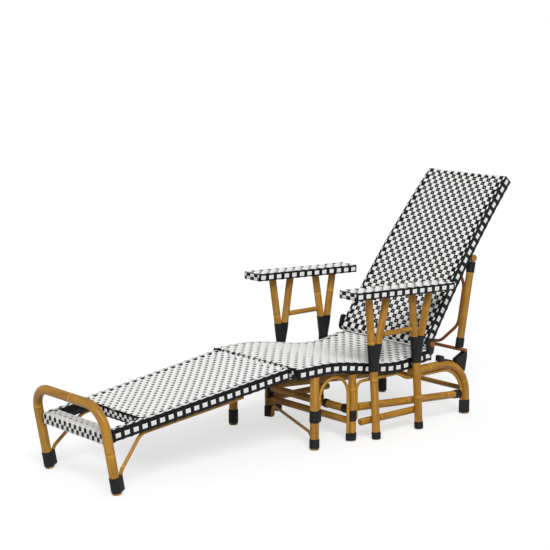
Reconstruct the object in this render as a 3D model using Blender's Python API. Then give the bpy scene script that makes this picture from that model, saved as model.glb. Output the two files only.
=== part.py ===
"""Woven cane chaise longue: seat frame, hinged footrest, reclining back and swinging prop.

Y runs along the length with the foot end at -Y, X across the width and Z up.
Pieces are laid out from the front legs and then centred under the box.
"""
import math

import bmesh
import bpy
from mathutils import Matrix, Vector

# Overall box
OVERALL_LENGTH = 2.034
OVERALL_HEIGHT = 0.940

# Clearances
GAP = 0.0003
RUN = 0.0006

# Seat panel
SEAT_WIDTH = 0.500
SEAT_FRONT_HEIGHT = 0.320
SEAT_CREST_HEIGHT = 0.321
SEAT_DIP_HEIGHT = 0.274
SEAT_REAR_HEIGHT = 0.2945
FRONT_OVERHANG = 0.088
CREST_OFFSET = 0.030
DIP_OFFSET = 0.430
HINGE_OFFSET = 0.599
EDGE_HEIGHT = 0.044
EDGE_WIDTH = 0.034
EDGE_ROUND = 0.009
WEAVE_THICKNESS = 0.016
WEAVE_DROP = 0.002
BAR_DEPTH = 0.030

# Legs and stretchers
SECOND_LEG_OFFSET = 0.191
REAR_LEG_OFFSET = 0.817
LEG_INSET = 0.014
LEG_DIAMETER = 0.034
SECOND_LEG_DIAMETER = 0.030
REAR_BEND = 0.137
REAR_TUBE_START = 0.500
THIN_DIAMETER = 0.012
STRETCHER_DIAMETER = 0.030
LOWER_DIAMETER = 0.027
REAR_STRETCHER_DIAMETER = 0.020
UPPER_CROSS_HEIGHT = 0.118
LOWER_CROSS_HEIGHT = 0.074
LONG_FRONT_HEIGHT = 0.126
LONG_REAR_HEIGHT = 0.085
LOWER_RAIL_HEIGHT = 0.070
REAR_STRETCHER_HEIGHT = 0.100
ARCH_START_HEIGHT = 0.110
BRACE_START_HEIGHT = 0.082

# Arms
POST_DIAMETER = 0.031
POST_FRONT_INSET = 0.143
POST_REAR_INSET = 0.152
POST_SPLAY = 0.020
POST_TOP = 0.328
FORK_DIAMETER = 0.029
FORK_BEND = 0.0165
FORK_REACH_FRONT = 0.037
FORK_REACH_REAR = 0.057
ARM_ROD_DIAMETER = 0.020
ARM_ROD_HEIGHT = 0.398
ARM_FRONT_OFFSET = 0.129
ARM_LENGTH = 0.525
ARM_WIDTH = 0.095
ARM_THICKNESS = 0.031
ARM_FRONT_HEIGHT = 0.585
ARM_DROP = 0.020
ARM_INNER = 0.227
POST_FRONT_OFFSET = ARM_FRONT_OFFSET + POST_FRONT_INSET
POST_REAR_OFFSET = ARM_FRONT_OFFSET + ARM_LENGTH - POST_REAR_INSET

# Footrest
SEAM = 0.019
FOOTREST_FOOT_HEIGHT = 0.2157
FOOTREST_HEAD_WIDTH = 0.436
FOOTREST_FOOT_WIDTH = 0.378
FOOT_BAR_DEPTH = 0.050
HAND_OPENING = 0.120
ARCH_DIAMETER = 0.034
ARCH_HEIGHT = 0.310
ARCH_LEAN = math.radians(10.4)
ARCH_BEND = 0.085
ARCH_SETBACK = 0.003
BRACE_DIAMETER = 0.013
BRACE_REACH = 0.430
BRACE_RISE = 0.060

# Back and prop
BACK_LOWER_ANGLE = math.radians(33.5)
BACK_UPPER_ANGLE = math.radians(42.7)
BACK_WIDTH = 0.480
BACK_TOP_WIDTH = 0.430
HINGE_ROD_DIAMETER = 0.022
LOOP_DIAMETER = 0.044
ROD_OVERHANG = 0.012
CROSS_ROD_DIAMETER = 0.028
CROSS_ROD_OVERHANG = 0.002
CROSS_ROD_AT = 0.408
PROP_SPREAD = 0.428
PROP_DIAMETER = 0.030
PROP_FOOT_DIAMETER = 0.014
PROP_FOOT_OFFSET = 0.800
PROP_FOOT_HEIGHT = 0.262
RECLINE = math.radians(20.0)
CHOCK_RISE = 0.0135
CHOCK_WIDTH = 0.022
RACK_THICKNESS = 0.003

SIDES = (1, -1)
SIDE_NAME = {1: "left", -1: "right"}
EDGE_OUT = SEAT_WIDTH / 2
LEG_X = EDGE_OUT - LEG_INSET
SEAT_FRONT = -FRONT_OVERHANG
SEAT_REAR = HINGE_OFFSET + 0.007
LEG_R = LEG_DIAMETER / 2
SECOND_R = SECOND_LEG_DIAMETER / 2
THIN_R = THIN_DIAMETER / 2
STRETCHER_R = STRETCHER_DIAMETER / 2
POST_R = POST_DIAMETER / 2
FORK_R = FORK_DIAMETER / 2
HINGE_R = HINGE_ROD_DIAMETER / 2
CROSS_R = CROSS_ROD_DIAMETER / 2


def ease(low, high, t):
    """Cosine step from low to high."""
    return low + (high - low) * (0.5 - 0.5 * math.cos(math.pi * t))


def seat_top(y):
    """Height of the seat's wavy upper surface."""
    knots = ((SEAT_FRONT, SEAT_FRONT_HEIGHT), (CREST_OFFSET, SEAT_CREST_HEIGHT),
             (DIP_OFFSET, SEAT_DIP_HEIGHT), (SEAT_REAR, SEAT_REAR_HEIGHT))
    y = min(max(y, SEAT_FRONT), SEAT_REAR)
    for (y0, z0), (y1, z1) in zip(knots, knots[1:]):
        if y <= y1:
            return ease(z0, z1, (y - y0) / (y1 - y0))
    return SEAT_REAR_HEIGHT


def spread(low, high, count):
    return [low + (high - low) * i / (count - 1) for i in range(count)]


def seat_under(low, high):
    """Lowest point of the woven edge's underside between two stations."""
    return min(seat_top(y) for y in spread(low, high, 25)) - EDGE_HEIGHT


def clear_scene():
    for item in list(bpy.data.objects):
        bpy.data.objects.remove(item, do_unlink=True)


def material(name, colour, roughness, metallic=0.0):
    mat = bpy.data.materials.new(name)
    mat.use_nodes = True
    shader = mat.node_tree.nodes["Principled BSDF"]
    shader.inputs["Base Color"].default_value = (*colour, 1.0)
    shader.inputs["Roughness"].default_value = roughness
    shader.inputs["Metallic"].default_value = metallic
    mat.diffuse_color = (*colour, 1.0)
    return mat


def pivot(name, y, z):
    """Empty on a joint's axis that carries one rigid body."""
    empty = bpy.data.objects.new(name, None)
    empty.empty_display_size = 0.05
    empty.location = (0.0, y, z)
    bpy.context.collection.objects.link(empty)
    return empty


def attach(name, data, body, colour):
    """One named node on its body, moved from layout space to the pivot's space."""
    item = bpy.data.objects.new(name, data)
    bpy.context.collection.objects.link(item)
    data.transform(Matrix.Translation(-body.location))
    item.parent = body
    data.materials.append(material(name, *COLOURS[colour]))
    return item


def pole(name, path, diameter, body, colour="cane", resolution=4):
    """Round cane pole as a bevelled curve with closed ends."""
    curve = bpy.data.curves.new(name, "CURVE")
    curve.dimensions = "3D"
    curve.bevel_depth = diameter / 2
    curve.bevel_resolution = resolution
    curve.use_fill_caps = True
    spline = curve.splines.new("POLY")
    spline.points.add(len(path) - 1)
    for point, place in zip(spline.points, path):
        point.co = (*place, 1.0)
    spline.use_smooth = True
    return attach(name, curve, body, colour)


def bent(corners, radii, steps=7):
    """Polyline whose inner corners are rounded to circular arcs."""
    path = [Vector(corners[0])]
    for before, corner, after, radius in zip(corners, corners[1:], corners[2:], radii):
        corner = Vector(corner)
        one = (Vector(before) - corner).normalized()
        two = (Vector(after) - corner).normalized()
        half = one.angle(two) / 2
        centre = corner + (one + two).normalized() * (radius / math.sin(half))
        start = corner + one * (radius / math.tan(half)) - centre
        end = corner + two * (radius / math.tan(half)) - centre
        sweep = start.angle(end)
        axis = start.cross(end).normalized()
        for t in spread(0.0, sweep, steps):
            path.append(centre + Matrix.Rotation(t, 3, axis) @ start)
    path.append(Vector(corners[-1]))
    return path


def rounded_outline(half_a, half_b, radius, steps=3):
    """Closed rectangle outline with round corners."""
    points = []
    for turn, (sa, sb) in enumerate(((1, 1), (-1, 1), (-1, -1), (1, -1))):
        for t in spread(0.0, math.pi / 2, steps):
            angle = turn * math.pi / 2 + t
            points.append((sa * (half_a - radius) + radius * math.cos(angle),
                           sb * (half_b - radius) + radius * math.sin(angle)))
    return points


def ring(centre, outline, a_axis, b_axis):
    return [Vector(centre) + a * Vector(a_axis) + b * Vector(b_axis) for a, b in outline]


def skin(bm, rings, closed=False):
    """Side faces between consecutive rings, with end caps unless the rings close on themselves."""
    loops = [[bm.verts.new(p) for p in points] for points in rings]
    pairs = list(zip(loops, loops[1:]))
    if closed:
        pairs.append((loops[-1], loops[0]))
    for low, high in pairs:
        for i in range(len(low)):
            j = (i + 1) % len(low)
            bm.faces.new((low[i], low[j], high[j], high[i]))
    if not closed:
        bm.faces.new(loops[0][::-1])
        bm.faces.new(loops[-1])


def solid(name, rings, body, colour, closed=False, smooth=True):
    """Node skinned over a row of rings."""
    bm = bmesh.new()
    skin(bm, rings, closed)
    bmesh.ops.recalc_face_normals(bm, faces=bm.faces)
    mesh = bpy.data.meshes.new(name)
    bm.to_mesh(mesh)
    bm.free()
    item = attach(name, mesh, body, colour)
    if smooth:
        mesh.shade_smooth()
        mesh.set_sharp_from_angle(angle=math.radians(40))
    return item


def collar(centre, radius_in, radius_out, x0, x1, count=24):
    """Loop around a rod that lies along X."""
    outer = [(radius_out * math.cos(t), radius_out * math.sin(t))
             for t in (2 * math.pi * i / count for i in range(count))]
    scale = radius_in / (radius_out * math.cos(math.pi / count))
    inner = [(a * scale, b * scale) for a, b in outer]
    rings = []
    for x, outline in ((x0, outer), (x1, outer), (x1, inner), (x0, inner)):
        rings.append(ring((x, centre[0], centre[1]), outline, (0, 1, 0), (0, 0, 1)))
    return rings


def block(outline, x_mid, width):
    """YZ outline extruded along X."""
    return [[Vector((x_mid + s * width / 2, y, z)) for y, z in outline] for s in SIDES]


COLOURS = {
    "cane": ((0.52, 0.27, 0.045), 0.45),
    "thin": ((0.56, 0.31, 0.07), 0.45),
    "red": ((0.30, 0.075, 0.022), 0.5),
    "weave": ((0.80, 0.80, 0.78), 0.5),
    "edge": ((0.03, 0.032, 0.035), 0.45),
    "wrap": ((0.018, 0.02, 0.022), 0.4),
}


def build_legs(body):
    under_front = seat_under(-LEG_R, LEG_R)
    second_y = SECOND_LEG_OFFSET
    under_second = seat_under(second_y - SECOND_R, second_y + SECOND_R)
    arch_front = LEG_R + GAP + THIN_R
    arch_rear = second_y - SECOND_R - GAP - THIN_R
    arch_top = seat_under(arch_front, arch_rear) - GAP - THIN_R
    arch_bend = (arch_rear - arch_front) / 2 - GAP
    brace_y = second_y + SECOND_R + GAP + THIN_R
    brace_z = seat_under(brace_y, REAR_TUBE_START) - GAP - THIN_R
    tube_z = rear_tube_z()
    brace_low = tube_z - LEG_R - GAP - THIN_R
    brace_rear = REAR_LEG_OFFSET - LEG_R - GAP - THIN_R
    inner_bend = REAR_BEND - LEG_R - GAP - THIN_R
    for side in SIDES:
        x = side * LEG_X
        name = SIDE_NAME[side]
        pole("front_leg_" + name, [(x, 0, 0), (x, 0, under_front - GAP)], LEG_DIAMETER, body)
        pole("second_leg_" + name, [(x, second_y, 0), (x, second_y, under_second - GAP)],
             SECOND_LEG_DIAMETER, body)
        rear = bent([(x, REAR_TUBE_START, tube_z), (x, REAR_LEG_OFFSET, tube_z), (x, REAR_LEG_OFFSET, 0)],
                    [REAR_BEND], 13)
        pole("rear_leg_" + name, rear, LEG_DIAMETER, body)
        arch = bent([(x, arch_front, ARCH_START_HEIGHT), (x, arch_front, arch_top),
                     (x, arch_rear, arch_top), (x, arch_rear, THIN_R)], [arch_bend, arch_bend])
        pole("leg_arch_" + name, arch, THIN_DIAMETER, body, "thin", 2)
        brace = bent([(x, brace_y, BRACE_START_HEIGHT), (x, brace_y, brace_z), (x, DIP_OFFSET, brace_z),
                      (x, REAR_TUBE_START - 0.018, brace_low), (x, brace_rear, brace_low),
                      (x, brace_rear, THIN_R)], [0.030, 0.050, 0.050, inner_bend], 13)
        pole("long_brace_" + name, brace, THIN_DIAMETER, body, "thin", 2)
    above = max(0.0, LONG_REAR_HEIGHT + STRETCHER_R - (brace_low - inner_bend))
    sag = inner_bend - math.sqrt(inner_bend ** 2 - above ** 2)
    build_stretchers(body, brace_y + THIN_R + GAP, brace_rear - sag - THIN_R - 2 * GAP)


def rear_tube_z():
    """Axis of the rear tube's straight run under the seat's rear end."""
    return seat_under(REAR_TUBE_START, SEAT_REAR) - GAP - LEG_R


def build_stretchers(body, front_y, rear_y):
    second_y = SECOND_LEG_OFFSET
    reach = LEG_X - SECOND_R - GAP
    for name, z, size in (("cross_stretcher_upper", UPPER_CROSS_HEIGHT, STRETCHER_DIAMETER),
                          ("cross_stretcher_lower", LOWER_CROSS_HEIGHT, LOWER_DIAMETER)):
        pole(name, [(-reach, second_y, z), (reach, second_y, z)], size, body)
    fall = math.atan2(LONG_FRONT_HEIGHT - LONG_REAR_HEIGHT, rear_y - front_y)
    tuck = STRETCHER_R * math.sin(fall)
    for side in SIDES:
        x = side * LEG_X
        pole("long_stretcher_" + SIDE_NAME[side],
             [(x, front_y + tuck, LONG_FRONT_HEIGHT), (x, rear_y - tuck, LONG_REAR_HEIGHT)],
             STRETCHER_DIAMETER, body)
        rail_x = min(post_x(LOWER_RAIL_HEIGHT, y) for y in (POST_FRONT_OFFSET, POST_REAR_OFFSET))
        x = side * (rail_x - (POST_R + LOWER_DIAMETER / 2) * 1.004 - GAP)
        pole("lower_rail_" + SIDE_NAME[side],
             [(x, front_y, LOWER_RAIL_HEIGHT), (x, POST_REAR_OFFSET + POST_R, LOWER_RAIL_HEIGHT)],
             LOWER_DIAMETER, body)
    reach = LEG_X - LEG_R - GAP
    pole("rear_stretcher", [(-reach, REAR_LEG_OFFSET, REAR_STRETCHER_HEIGHT),
                            (reach, REAR_LEG_OFFSET, REAR_STRETCHER_HEIGHT)], REAR_STRETCHER_DIAMETER, body)
    # Bow from the second leg's foot on one side to the front leg's foot on the other
    start = Vector((-LEG_X, second_y, THIN_R))
    end = Vector((LEG_X, 0, THIN_R))
    along = (end - start).normalized()
    start = start + along * (SECOND_R + GAP + THIN_R)
    end = end - along * (LEG_R + GAP + THIN_R)
    lift = Vector((0, 0, LOWER_CROSS_HEIGHT - LOWER_DIAMETER / 2 - GAP - 2 * THIN_R))
    pole("cross_bow", bent([start, start + lift, end + lift, end], [0.042, 0.042]),
         THIN_DIAMETER, body, "thin", 2)


def post_x(z, y):
    """Outer distance of a splayed arm post's axis; it meets the seat edge near the top."""
    tie_z = seat_top(y) - EDGE_ROUND
    lean = math.atan2(POST_SPLAY, tie_z)
    at_edge = EDGE_OUT + GAP + POST_R / math.cos(lean)
    return at_edge + POST_SPLAY * (1 - z / tie_z)


def arm_under(y):
    """Underside of the sloping arm pad."""
    return ARM_FRONT_HEIGHT - ARM_DROP * (y - ARM_FRONT_OFFSET) / ARM_LENGTH - ARM_THICKNESS


def build_arms(body):
    pad_x = ARM_INNER + ARM_WIDTH / 2
    for side in SIDES:
        name = SIDE_NAME[side]
        inner_legs = []
        for label, y in (("front_", POST_FRONT_OFFSET), ("rear_", POST_REAR_OFFSET)):
            lean = math.atan2(POST_SPLAY, seat_top(y) - EDGE_ROUND)
            foot_z = POST_R * math.sin(lean)
            foot = Vector((side * post_x(foot_z, y), y, foot_z))
            top = Vector((side * post_x(POST_TOP, y), y, POST_TOP - POST_R * math.sin(lean)))
            pole("arm_post_" + label + name, [foot, top], POST_DIAMETER, body)
            tops = []
            for step, reach in ((-1, FORK_REACH_FRONT), (1, FORK_REACH_REAR)):
                tilt = math.atan2(reach, arm_under(y) - POST_TOP)
                place = y + step * reach
                height = arm_under(place + FORK_R) - GAP - FORK_R * math.sin(tilt)
                tops.append(Vector((side * pad_x, place, height)))
            # The fork is one cane bent to a hairpin that stands on the post
            corner = Vector((top.x, y, POST_TOP - 0.040))
            for _ in range(12):
                one, two = (tops[0] - corner).normalized(), (tops[1] - corner).normalized()
                drop = FORK_BEND * (1 / math.sin(one.angle(two) / 2) - 1) * (one + two).normalized().z
                corner.z = top.z + GAP + FORK_R / math.cos(lean) - drop
            hairpin = bent([tops[0], corner, tops[1]], [FORK_BEND], 9)
            pole("arm_fork_" + label + name, hairpin, FORK_DIAMETER, body)
            inner_legs.append((corner, tops[1] if label == "front_" else tops[0]))
        ends = []
        for (low, high), step in zip(inner_legs, (1, -1)):
            spot = low.lerp(high, (ARM_ROD_HEIGHT - low.z) / (high.z - low.z))
            slope = math.atan2(abs(high.y - low.y), high.z - low.z)
            spot.y += step * (FORK_R / math.cos(slope) + GAP + math.tan(slope) * ARM_ROD_DIAMETER / 2)
            ends.append(spot)
        pole("arm_rod_" + name, ends, ARM_ROD_DIAMETER, body)
        mid = Vector((side * pad_x, ARM_FRONT_OFFSET, ARM_FRONT_HEIGHT - ARM_THICKNESS / 2))
        run = Vector((0, ARM_LENGTH, -ARM_DROP))
        outline = rounded_outline(ARM_WIDTH / 2, ARM_THICKNESS / 2, EDGE_ROUND)
        slim = rounded_outline(ARM_WIDTH / 2 - 0.006, ARM_THICKNESS / 2 - 0.003, EDGE_ROUND)
        stations = ((0.0, slim), (0.008, outline), (0.992, outline), (1.0, slim))
        rings = [ring(mid + run * t, o, (1, 0, 0), (0, 0, 1)) for t, o in stations]
        solid("arm_pad_" + name, rings, body, "weave")


def build_seat(body):
    inner = EDGE_OUT - EDGE_WIDTH - GAP
    outline = rounded_outline(EDGE_WIDTH / 2, EDGE_HEIGHT / 2, EDGE_ROUND)
    stations = spread(SEAT_FRONT, SEAT_REAR, 29)
    for side in SIDES:
        x = side * (EDGE_OUT - EDGE_WIDTH / 2)
        rings = [ring((x, y, seat_top(y) - EDGE_HEIGHT / 2), outline, (1, 0, 0), (0, 0, 1))
                 for y in stations]
        solid("seat_edge_" + SIDE_NAME[side], rings, body, "edge")
    for name, low, high in (("seat_front_bar", SEAT_FRONT, SEAT_FRONT + BAR_DEPTH),
                            ("seat_rear_bar", SEAT_REAR - BAR_DEPTH, SEAT_REAR)):
        top = min(seat_top(low), seat_top(high))
        outline = rounded_outline(BAR_DEPTH / 2, EDGE_HEIGHT / 2, EDGE_ROUND)
        rings = [ring((s * inner, (low + high) / 2, top - EDGE_HEIGHT / 2), outline, (0, 1, 0), (0, 0, 1))
                 for s in (-1, 1)]
        solid(name, rings, body, "edge")
    outline = rounded_outline(inner, WEAVE_THICKNESS / 2, 0.003, 2)
    stations = spread(SEAT_FRONT + BAR_DEPTH + GAP, SEAT_REAR - BAR_DEPTH - GAP, 27)
    rings = [ring((0, y, seat_top(y) - WEAVE_DROP - WEAVE_THICKNESS / 2), outline, (1, 0, 0), (0, 0, 1))
             for y in stations]
    solid("seat_weave", rings, body, "weave")


def footrest_length():
    """Length that brings the arch's handle to the foot end of the overall box."""
    rear, _ = along_back(back_length(), EDGE_HEIGHT / 2)
    rise = ARCH_HEIGHT - FOOTREST_FOOT_HEIGHT + EDGE_HEIGHT / 2
    reach = ARCH_DIAMETER / 2 - ARCH_SETBACK + math.tan(ARCH_LEAN) * rise
    return OVERALL_LENGTH - rear - reach - FRONT_OVERHANG - SEAM


def footrest_top(y):
    slope = (SEAT_FRONT_HEIGHT - FOOTREST_FOOT_HEIGHT) / footrest_length()
    return SEAT_FRONT_HEIGHT + slope * (y - (SEAT_FRONT - SEAM))


def footrest_half(y):
    t = (SEAT_FRONT - SEAM - y) / footrest_length()
    return (FOOTREST_HEAD_WIDTH + (FOOTREST_FOOT_WIDTH - FOOTREST_HEAD_WIDTH) * t) / 2


def build_footrest(body):
    head = SEAT_FRONT - SEAM
    foot = head - footrest_length()
    bar_end = foot + FOOT_BAR_DEPTH
    inner_start = bar_end + HAND_OPENING
    inner_end = inner_start + BAR_DEPTH
    flat = (1, 0, 0), (0, 0, 1)
    half_h = EDGE_HEIGHT / 2

    def crossbar(name, low, high, inset):
        rings = []
        reach = min(footrest_half(low), footrest_half(high)) - inset
        for y, trim in ((low, 0.004), (low + 0.006, 0.0), (high - 0.006, 0.0), (high, 0.004)):
            outline = rounded_outline(reach, half_h - trim, 0.005, 2)
            rings.append(ring((0, y, footrest_top(y) - half_h), outline, *flat))
        solid(name, rings, body, "edge")

    crossbar("footrest_foot_bar", foot, bar_end, 0.0)
    crossbar("footrest_inner_bar", inner_start, inner_end, EDGE_WIDTH + GAP)
    crossbar("footrest_head_bar", head - BAR_DEPTH, head, EDGE_WIDTH + GAP)
    outline = rounded_outline(EDGE_WIDTH / 2, half_h, EDGE_ROUND)
    for side in SIDES:
        ends = (bar_end + GAP, head)
        rings = [ring((side * (footrest_half(y) - EDGE_WIDTH / 2), y, footrest_top(y) - half_h),
                      outline, *flat) for y in ends]
        solid("footrest_edge_" + SIDE_NAME[side], rings, body, "edge")
    rings = []
    for y in (inner_end + GAP, head - BAR_DEPTH - GAP):
        outline = rounded_outline(footrest_half(y) - EDGE_WIDTH - GAP, WEAVE_THICKNESS / 2, 0.003, 2)
        rings.append(ring((0, y, footrest_top(y) - WEAVE_DROP - WEAVE_THICKNESS / 2), outline, *flat))
    solid("footrest_weave", rings, body, "weave")
    reach = footrest_half(head) - EDGE_WIDTH
    seam = body.location.y, body.location.z
    pole("footrest_lacing", [(-reach, *seam), (reach, *seam)], SEAM - 2 * GAP, body, "edge")
    build_arch(body, foot, inner_start)


def build_arch(body, foot, inner_start):
    radius = ARCH_DIAMETER / 2
    thin = BRACE_DIAMETER / 2
    up = Vector((0, -math.sin(ARCH_LEAN), math.cos(ARCH_LEAN)))
    back = Vector((0, math.cos(ARCH_LEAN), math.sin(ARCH_LEAN)))
    x = FOOTREST_FOOT_WIDTH / 2 + GAP + radius
    level = footrest_top(foot) - EDGE_HEIGHT / 2
    sole = radius * math.sin(ARCH_LEAN)
    base = Vector((0, foot + ARCH_SETBACK + math.tan(ARCH_LEAN) * (level - sole), sole))
    rise = up * ((ARCH_HEIGHT - sole) / math.cos(ARCH_LEAN))
    right, left = Vector((-x, 0, 0)), Vector((x, 0, 0))
    path = bent([base + right, base + right + rise, base + left + rise, base + left],
                [ARCH_BEND, ARCH_BEND], 9)
    pole("footrest_arch", path, ARCH_DIAMETER, body)
    start = base + back * (radius + GAP + thin) + up * thin
    turn = start + up * BRACE_RISE
    for side in SIDES:
        side_x = Vector((side * x, 0, 0))
        under = []
        for y in (inner_start - 0.010, inner_start + BRACE_REACH):
            under.append(Vector((side * (footrest_half(y) - EDGE_WIDTH / 2), y,
                                 footrest_top(y) - EDGE_HEIGHT - GAP - thin * 1.01)))
        path = bent([start + side_x, turn + side_x, *under], [0.040, 0.060])
        pole("footrest_brace_" + SIDE_NAME[side], path, BRACE_DIAMETER, body, "thin", 2)


def back_lean(s):
    """Angle from upright at distance s up the evenly curved back."""
    return BACK_LOWER_ANGLE + (BACK_UPPER_ANGLE - BACK_LOWER_ANGLE) * s / back_length()


def along_back(s, n):
    """Layout (y, z) at distance s up the curved back and n behind its middle surface."""
    lean = back_lean(s)
    radius = back_length() / (BACK_UPPER_ANGLE - BACK_LOWER_ANGLE)
    return (HINGE_OFFSET + radius * (math.cos(BACK_LOWER_ANGLE) - math.cos(lean)) + n * math.cos(lean),
            hinge_z() + radius * (math.sin(lean) - math.sin(BACK_LOWER_ANGLE)) - n * math.sin(lean))


def back_length():
    """Length up the curved back that brings its top to the overall height."""
    rise = OVERALL_HEIGHT - hinge_z() - EDGE_HEIGHT / 2 * math.sin(BACK_UPPER_ANGLE)
    bend = BACK_UPPER_ANGLE - BACK_LOWER_ANGLE
    return rise * bend / (math.sin(BACK_UPPER_ANGLE) - math.sin(BACK_LOWER_ANGLE))


def back_half(s):
    """Half width of the back, which tapers to its top."""
    return (BACK_WIDTH + (BACK_TOP_WIDTH - BACK_WIDTH) * s / back_length()) / 2


def back_ring(s, x, n, half_a, half_b, radius, steps):
    """Cross-section of a piece of the back at distance s, square to the curve."""
    rear = (0, math.cos(back_lean(s)), -math.sin(back_lean(s)))
    return ring((x, *along_back(s, n)), rounded_outline(half_a, half_b, radius, steps), (1, 0, 0), rear)


def hinge_z():
    return seat_top(HINGE_OFFSET) + LOOP_DIAMETER / 2 + GAP


def cross_rod_place():
    return along_back(CROSS_ROD_AT, EDGE_HEIGHT / 2 + GAP + CROSS_R)


def build_loops(body):
    """Loops on the seat's rear corners that carry the hinge rod."""
    inside = BACK_WIDTH / 2 + 0.0025
    for side in SIDES:
        rings = collar((HINGE_OFFSET, hinge_z()), HINGE_R + RUN, LOOP_DIAMETER / 2,
                       side * inside, side * (inside + 0.012))
        solid("hinge_loop_" + SIDE_NAME[side], rings, body, "wrap", True)


def build_back(body):
    lower = HINGE_R + GAP
    half = EDGE_HEIGHT / 2
    trim = EDGE_WIDTH + GAP
    wide = EDGE_WIDTH / 2
    for side in SIDES:
        rings = [back_ring(s, side * (back_half(s) - wide), 0.0, wide, half, EDGE_ROUND, 3)
                 for s in spread(lower, back_length(), 17)]
        solid("back_edge_" + SIDE_NAME[side], rings, body, "edge")
    for name, low, high in (("back_bottom_bar", lower, lower + BAR_DEPTH),
                            ("back_top_bar", back_length() - BAR_DEPTH, back_length())):
        stations = ((low, 0.004), (low + 0.006, 0.0), (high - 0.006, 0.0), (high, 0.004))
        rings = [back_ring(s, 0.0, 0.0, back_half(s) - trim, half - slim, 0.005, 2) for s, slim in stations]
        solid(name, rings, body, "edge")
    front = -half + WEAVE_DROP + WEAVE_THICKNESS / 2
    rings = [back_ring(s, 0.0, front, back_half(s) - trim, WEAVE_THICKNESS / 2, 0.003, 2)
             for s in spread(lower + BAR_DEPTH + GAP, back_length() - BAR_DEPTH - GAP, 15)]
    solid("back_weave", rings, body, "weave")
    hinge = (HINGE_OFFSET, hinge_z())
    for name, place, size, end in (
            ("hinge_rod", hinge, HINGE_ROD_DIAMETER, EDGE_OUT + ROD_OVERHANG),
            ("back_cross_rod", cross_rod_place(), CROSS_ROD_DIAMETER,
             back_half(CROSS_ROD_AT) + CROSS_ROD_OVERHANG)):
        pole(name, [(-end, *place), (end, *place)], size, body, "red")


def prop_geometry():
    """Pivot, foot, length and lean of the prop at rest, in YZ."""
    top = Vector(cross_rod_place())
    foot = Vector((PROP_FOOT_OFFSET, PROP_FOOT_HEIGHT))
    lean = math.atan2(top.x - foot.x, top.y - foot.y)
    return top, foot, (top - foot).length, lean


def build_prop(body):
    top, foot, length, lean = prop_geometry()
    thin = BRACE_DIAMETER / 2
    foot_r = PROP_FOOT_DIAMETER / 2
    down = Vector((0, -math.sin(lean), -math.cos(lean)))
    hang = Vector((0, top.x, top.y))
    for side in SIDES:
        x = Vector((side * PROP_SPREAD / 2, 0, 0))
        ends = [hang + x + down * (CROSS_R + RUN), hang + x + down * (length - foot_r - GAP)]
        pole("prop_post_" + SIDE_NAME[side], ends, PROP_DIAMETER, body)
    reach = LEG_X + CHOCK_WIDTH / 2 + 0.006
    pole("prop_foot_bar", [(-reach, *foot), (reach, *foot)], PROP_FOOT_DIAMETER, body)
    # One thin cane follows the posts inside and crosses above the foot bar
    inner = PROP_SPREAD / 2 - PROP_DIAMETER / 2 - GAP - thin
    spots = [(inner - 0.060, CROSS_R + RUN + 2 * thin), (inner, 0.30 * length), (inner, 0.74 * length),
             (inner - 0.085, length - foot_r - GAP - thin)]
    spots += [(-a, b) for a, b in spots[::-1]]
    bends = [0.060] * 6
    pole("prop_brace", bent([hang + Vector((a, 0, 0)) + down * b for a, b in spots], bends),
         BRACE_DIAMETER, body, "red", 2)


def build_rests(body, tube_z):
    """Racks on the rear tubes: a cradle for the prop's foot at rest and a chock for the lowered back."""
    top, foot, length, lean = prop_geometry()
    bar = PROP_FOOT_DIAMETER / 2
    centre = Vector((REAR_LEG_OFFSET - REAR_BEND, tube_z - REAR_BEND))
    shoulder = REAR_BEND + LEG_R + GAP
    hinge = Vector((HINGE_OFFSET, hinge_z()))
    arm = top - hinge
    swing = math.atan2(arm.x, arm.y) + RECLINE
    low_top = hinge + arm.length * Vector((math.sin(swing), math.cos(swing)))
    stop_z = tube_z + LEG_R + GAP + bar + CHOCK_RISE
    low_lean = math.acos((low_top.y - stop_z) / length)
    ratio = (low_lean - lean) / RECLINE
    stop = low_top - length * Vector((math.sin(low_lean), math.cos(low_lean)))

    def travel(angle, tilt):
        """Direction in which the prop's foot sets off as the back goes down."""
        move = arm.length * Vector((math.cos(angle), -math.sin(angle)))
        return (move - length * ratio * Vector((math.cos(tilt), -math.sin(tilt)))).normalized()

    def on_shoulder(y, lift):
        return (y, centre.y + math.sqrt(max(0.0, (shoulder + lift) ** 2 - (y - centre.x) ** 2)))

    way = travel(swing - RECLINE, lean)
    contact = foot + (bar + GAP) * Vector((-way.y, way.x))
    slope = way.y / way.x
    lip = foot.x + bar + GAP
    front = contact.x - 0.050
    behind = [(lip + 0.006, foot.y - 0.028), (lip + 0.006, foot.y + 0.004), (lip, foot.y + 0.004),
              (lip, contact.y + slope * (lip - contact.x)), (front, contact.y - slope * 0.050)]
    way = travel(swing, low_lean)
    contact = stop + (bar + GAP) * Vector((-way.y, way.x))
    slope = way.y / way.x
    deck = tube_z + LEG_R + GAP
    rear = min(contact.x - (contact.y - deck - RACK_THICKNESS) / slope, centre.x)
    peak = contact.x - 0.020
    sole = [(peak - 0.015, deck)] + [on_shoulder(y, 0.0) for y in spread(centre.x, foot.x + 0.002, 9)]
    strip = [on_shoulder(y, RACK_THICKNESS) for y in spread(front - 0.001, centre.x, 5)]
    chock = [(rear, contact.y + slope * (rear - contact.x)), (peak, contact.y + slope * (peak - contact.x)),
             (peak - 0.015, contact.y - slope * 0.020)]
    for side in SIDES:
        rings = block(sole + behind + strip + chock, side * LEG_X, CHOCK_WIDTH)
        solid("prop_rest_" + SIDE_NAME[side], rings, body, "wrap", False, False)


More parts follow.
